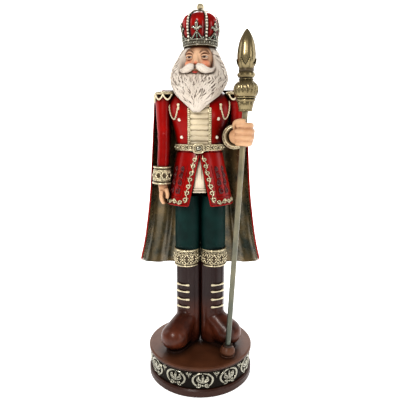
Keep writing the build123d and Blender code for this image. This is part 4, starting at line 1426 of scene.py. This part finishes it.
def staff_head():
    """Gadrooned knop, petals, fluted cup and pointed bud."""
    centre = middle("staff_ring")
    axis = (centre.x, centre.y)
    outline = [(17, 0), (18.4, 1), (24.4, 7), (27.0, 15), (27.3, 22), (24.6, 29.5), (18.4, 36), (14.6, 40),
               (14.4, 44)]
    profile = profile_line(outline, 40, KNOP_FOOT)
    knop = Shape()
    knop.lathe(axis, profile, 192, lambda a, z: 1 - 0.11 * (1 - abs(math.cos(9 * a)) ** 0.6)
               * max(0.0, 1 - abs(z - KNOP_FOOT - 20) / 16))
    for z, r, thick in ((KNOP_FOOT + 2, 21, 1.6), (KNOP_FOOT + 40.5, 15.4, 1.3)):
        knop.tube(circle(r, z, 60, axis), thick, 8)
    finish_piece(knop.object("staff_gadroon_knop"), "staff", ["staff_knop"], "staff_gold", STAFF)
    petals = Shape()
    lip = [(14.8, 0), (15.4, 3), (16.8, 8), (19.0, 14), (20.4, 19), (21.2, 25)]
    line = smooth_line([(r, 0, PETAL_FOOT + up) for r, up in lip], 20)
    count = 6

    def petal(i, k, shrink=1.0):
        t = i / 19
        a = 2 * math.pi * k / 120 + math.radians(18)
        tip = 1 - abs(((k * count / 120) % 1) * 2 - 1)
        level = t * (0.42 + 0.58 * tip ** 1.3)
        at = line[0].lerp(line[19], level)
        r = ramp([p.x for p in line], level) + 1.3 * t * (1 - tip)
        return Vector((axis[0] + r * shrink * math.cos(a), axis[1] + r * shrink * math.sin(a), at.z))

    rows = [[petal(i, k) for k in range(120)] for i in range(20)]
    rows += [[petal(i, k, 0.88) for k in range(120)] for i in range(19, -1, -1)]
    petals.grid(rows)
    petals.tube([petal(19, k, 0.99) for k in range(121)], 1.0, 7)
    for k in range(count):
        rib = [petal(i, 20 * k + 10, 1.01) for i in range(2, 20)]
        petals.tube(rib, [0.6, 1.0, 0.7], 7)
    neck = [(14.4, -2.5), (16.2, -1), (16.8, 2), (15.6, 5.5), (12, 6)]
    petals.lathe(axis, [(r, PETAL_FOOT + up) for r, up in neck], 60, mat=1)
    finish_piece(petals.object("staff_petal_cup"), "staff", ["staff_petals"], "staff_gold",
                 STAFF, GOLD_GROUND)
    cup = Shape()
    low, high = span("staff_cup")
    outline = [(9.5, 0), (13.4, 0.5), (14.6, 3), (16.6, 12), (18.3, 19), (17.6, 20.4), (20.2, 22), (21.2, 24)]
    body = [(r, low.z + up) for r, up in outline] + [(20.4, high.z - 0.4), (12, high.z)]
    cup.lathe(axis, body, 96, lambda a, z: 1 - 0.035 * (1 - abs(math.cos(8 * a)) ** 0.5) * (z < low.z + 18))
    for z, r, thick in ((low.z + 2, 14.4, 1.5), (low.z + 20.6, 18.0, 0.9)):
        cup.tube(circle(r, z, 60, axis), thick, 8)
    finish_piece(cup.object("staff_fluted_cup"), "staff", ["staff_cup"], "staff_gold", STAFF)
    flame = Shape()
    outline = [(13, 0), (17.5, 8), (19.6, 19), (20.0, 31), (17.2, 50), (12.4, 64), (6.6, 75), (1.2, 81.6)]
    flame.lathe(axis, profile_line(outline, 44, FLAME_FOOT), 96,
                lambda a, z: 1 - 0.03 * (1 - abs(math.cos(3 * a + 0.4))))
    finish_piece(flame.object("staff_flame_bud"), "staff", ["staff_flame"], "staff_gold", STAFF)


# ---------------------------------------------------------------------------
# Stage, light and camera
# ---------------------------------------------------------------------------

FLOOR_GLOW = 0.62
SKY_STRENGTH = 0.2
LENS = 35.6
LOOKING_DOWN = 10


def stage():
    """Pale floor that curves up behind the figure."""
    floor = Shape()
    rows = []
    path = [(-2600, 0), (900, 0), (1500, 60), (1900, 400), (2050, 1000), (2100, 3200)]
    for p in smooth_line([(0, y, z) for y, z in path], 40):
        rows.append([Vector((x, p.y, max(0.0, p.z) - 0.2)) for x in (-4500, -1500, 1500, 4500)])
    floor.grid(rows, loop=False)
    obj = floor.object("studio_floor")
    mat = bpy.data.materials.new("studio_white")
    mat.use_nodes = True
    surface = mat.node_tree.nodes["Principled BSDF"].inputs
    surface["Base Color"].default_value = (0.9, 0.9, 0.9, 1)
    surface["Roughness"].default_value = 0.9
    surface["Emission Color"].default_value = (1, 1, 1, 1)
    surface["Emission Strength"].default_value = FLOOR_GLOW
    obj.data.materials.append(mat)


def light(name, place, target, size, power, colour=(1, 1, 1)):
    """Soft rectangular light aimed at a target, in metres and watts."""
    data = bpy.data.lights.new(name, "AREA")
    data.shape = "RECTANGLE"
    data.size, data.size_y = size
    data.energy = power
    data.color = colour
    obj = bpy.data.objects.new(name, data)
    obj.location = place
    obj.rotation_mode = "QUATERNION"
    obj.rotation_quaternion = (Vector(target) - Vector(place)).to_track_quat("-Z", "Y")
    bpy.context.scene.collection.objects.link(obj)


def studio():
    """Floor, lights and surroundings."""
    stage()
    light("key", (-0.7, -1.9, 1.7), (0, 0, 0.5), (0.5, 0.9), 29, (1.0, 0.97, 0.93))
    light("fill", (1.6, -1.5, 1.0), (0, 0, 0.5), (0.5, 1.4), 9)
    light("back", (0.2, 1.5, 2.0), (0, 0.2, 0.4), (1.6, 1.2), 26)
    light("left", (-1.8, 0.2, 1.2), (0, 0, 0.5), (0.8, 1.4), 7)
    light("right", (1.9, 0.3, 1.2), (0, 0, 0.5), (0.8, 1.4), 7)
    world = bpy.data.worlds.new("studio_world")
    world.use_nodes = True
    sky = world.node_tree.nodes["Background"].inputs
    sky["Color"].default_value = (1, 1, 1, 1)
    sky["Strength"].default_value = SKY_STRENGTH
    bpy.context.scene.world = world
    bpy.context.scene.view_settings.view_transform = "Standard"
    bpy.context.scene.view_settings.look = "Medium High Contrast"


def camera():
    """Camera in front of the figure, above it and looking slightly down."""
    height = span("crown_finial")[1].z
    data = bpy.data.cameras.new("camera")
    data.sensor_width = 36.0
    data.lens = LENS
    obj = bpy.data.objects.new("camera", data)
    obj.location = Vector((-0.8, -1.067 * height, 0.685 * height)) * MM
    obj.rotation_euler = (math.radians(90 - LOOKING_DOWN), 0, 0)
    bpy.context.scene.collection.objects.link(obj)
    bpy.context.scene.camera = obj


CAD_MATERIALS = {
    "base_felt_pad": FELT, "base_cover_plate": BROWN, "base_drum": BASE, "staff_boss": BROWN,
    "base_frieze_band": RECESS, "base_scroll_medallions": SILVER, "base_palmettes": SILVER,
    "ballast_block": STONE, "cover_screws": STEEL, "tie_rods": STEEL, "tie_rod_nuts": STEEL,
    "tie_rod_washers": STEEL, "tether_bracket": BLACK, "right_boot": LEATHER, "left_boot": LEATHER,
    "right_boot_sole": SOLE, "left_boot_sole": SOLE, "boot_laces": CORD, "chest_cords": CORD,
    "right_knee_cuff": GOLD, "left_knee_cuff": GOLD, "belt": GOLD, "belt_buckle": GOLD,
    "belt_medallions": GOLD, "lapel_trims": GOLD, "skirt_scroll_trim": GOLD, "right_cuff": GOLD,
    "left_cuff": GOLD, "right_epaulette": GOLD, "left_epaulette": GOLD, "right_trouser_leg": GREEN,
    "left_trouser_leg": GREEN, "coat_body": RED, "right_skirt_panel": RED, "left_skirt_panel": RED,
    "right_sleeve": RED, "left_sleeve": RED, "waistcoat_front": CREAM, "shirt_tail": CREAM,
    "coat_buttons": PEARL, "cape": RED, "staff_bush": NYLON, "staff_pole": POLE, "staff_end_cap": POLE,
    "staff_cup": STAFF, "staff_knop": STAFF, "staff_ring": STAFF, "staff_petals": STAFF, "staff_flame": STAFF,
}


def dress_cad():
    """Give every CAD node a material."""
    skin = skin_paint("hand_skin", [], HAND_SKIN_SHADED)
    for name, obj in NODES.items():
        obj.data.materials.clear()
        obj.data.materials.append(CAD_MATERIALS.get(name, skin))
        obj.data.shade_smooth() if name.startswith("staff") else None


dress_cad()
head()
beard()
moustache()
crown()
boots()
knee_cuffs()
trousers()
coat_front()
belt()
skirt()
cape()
sleeves()
cuffs()
epaulettes()
hands()
base_relief()
staff_head()
staff_socket()
studio()
camera()
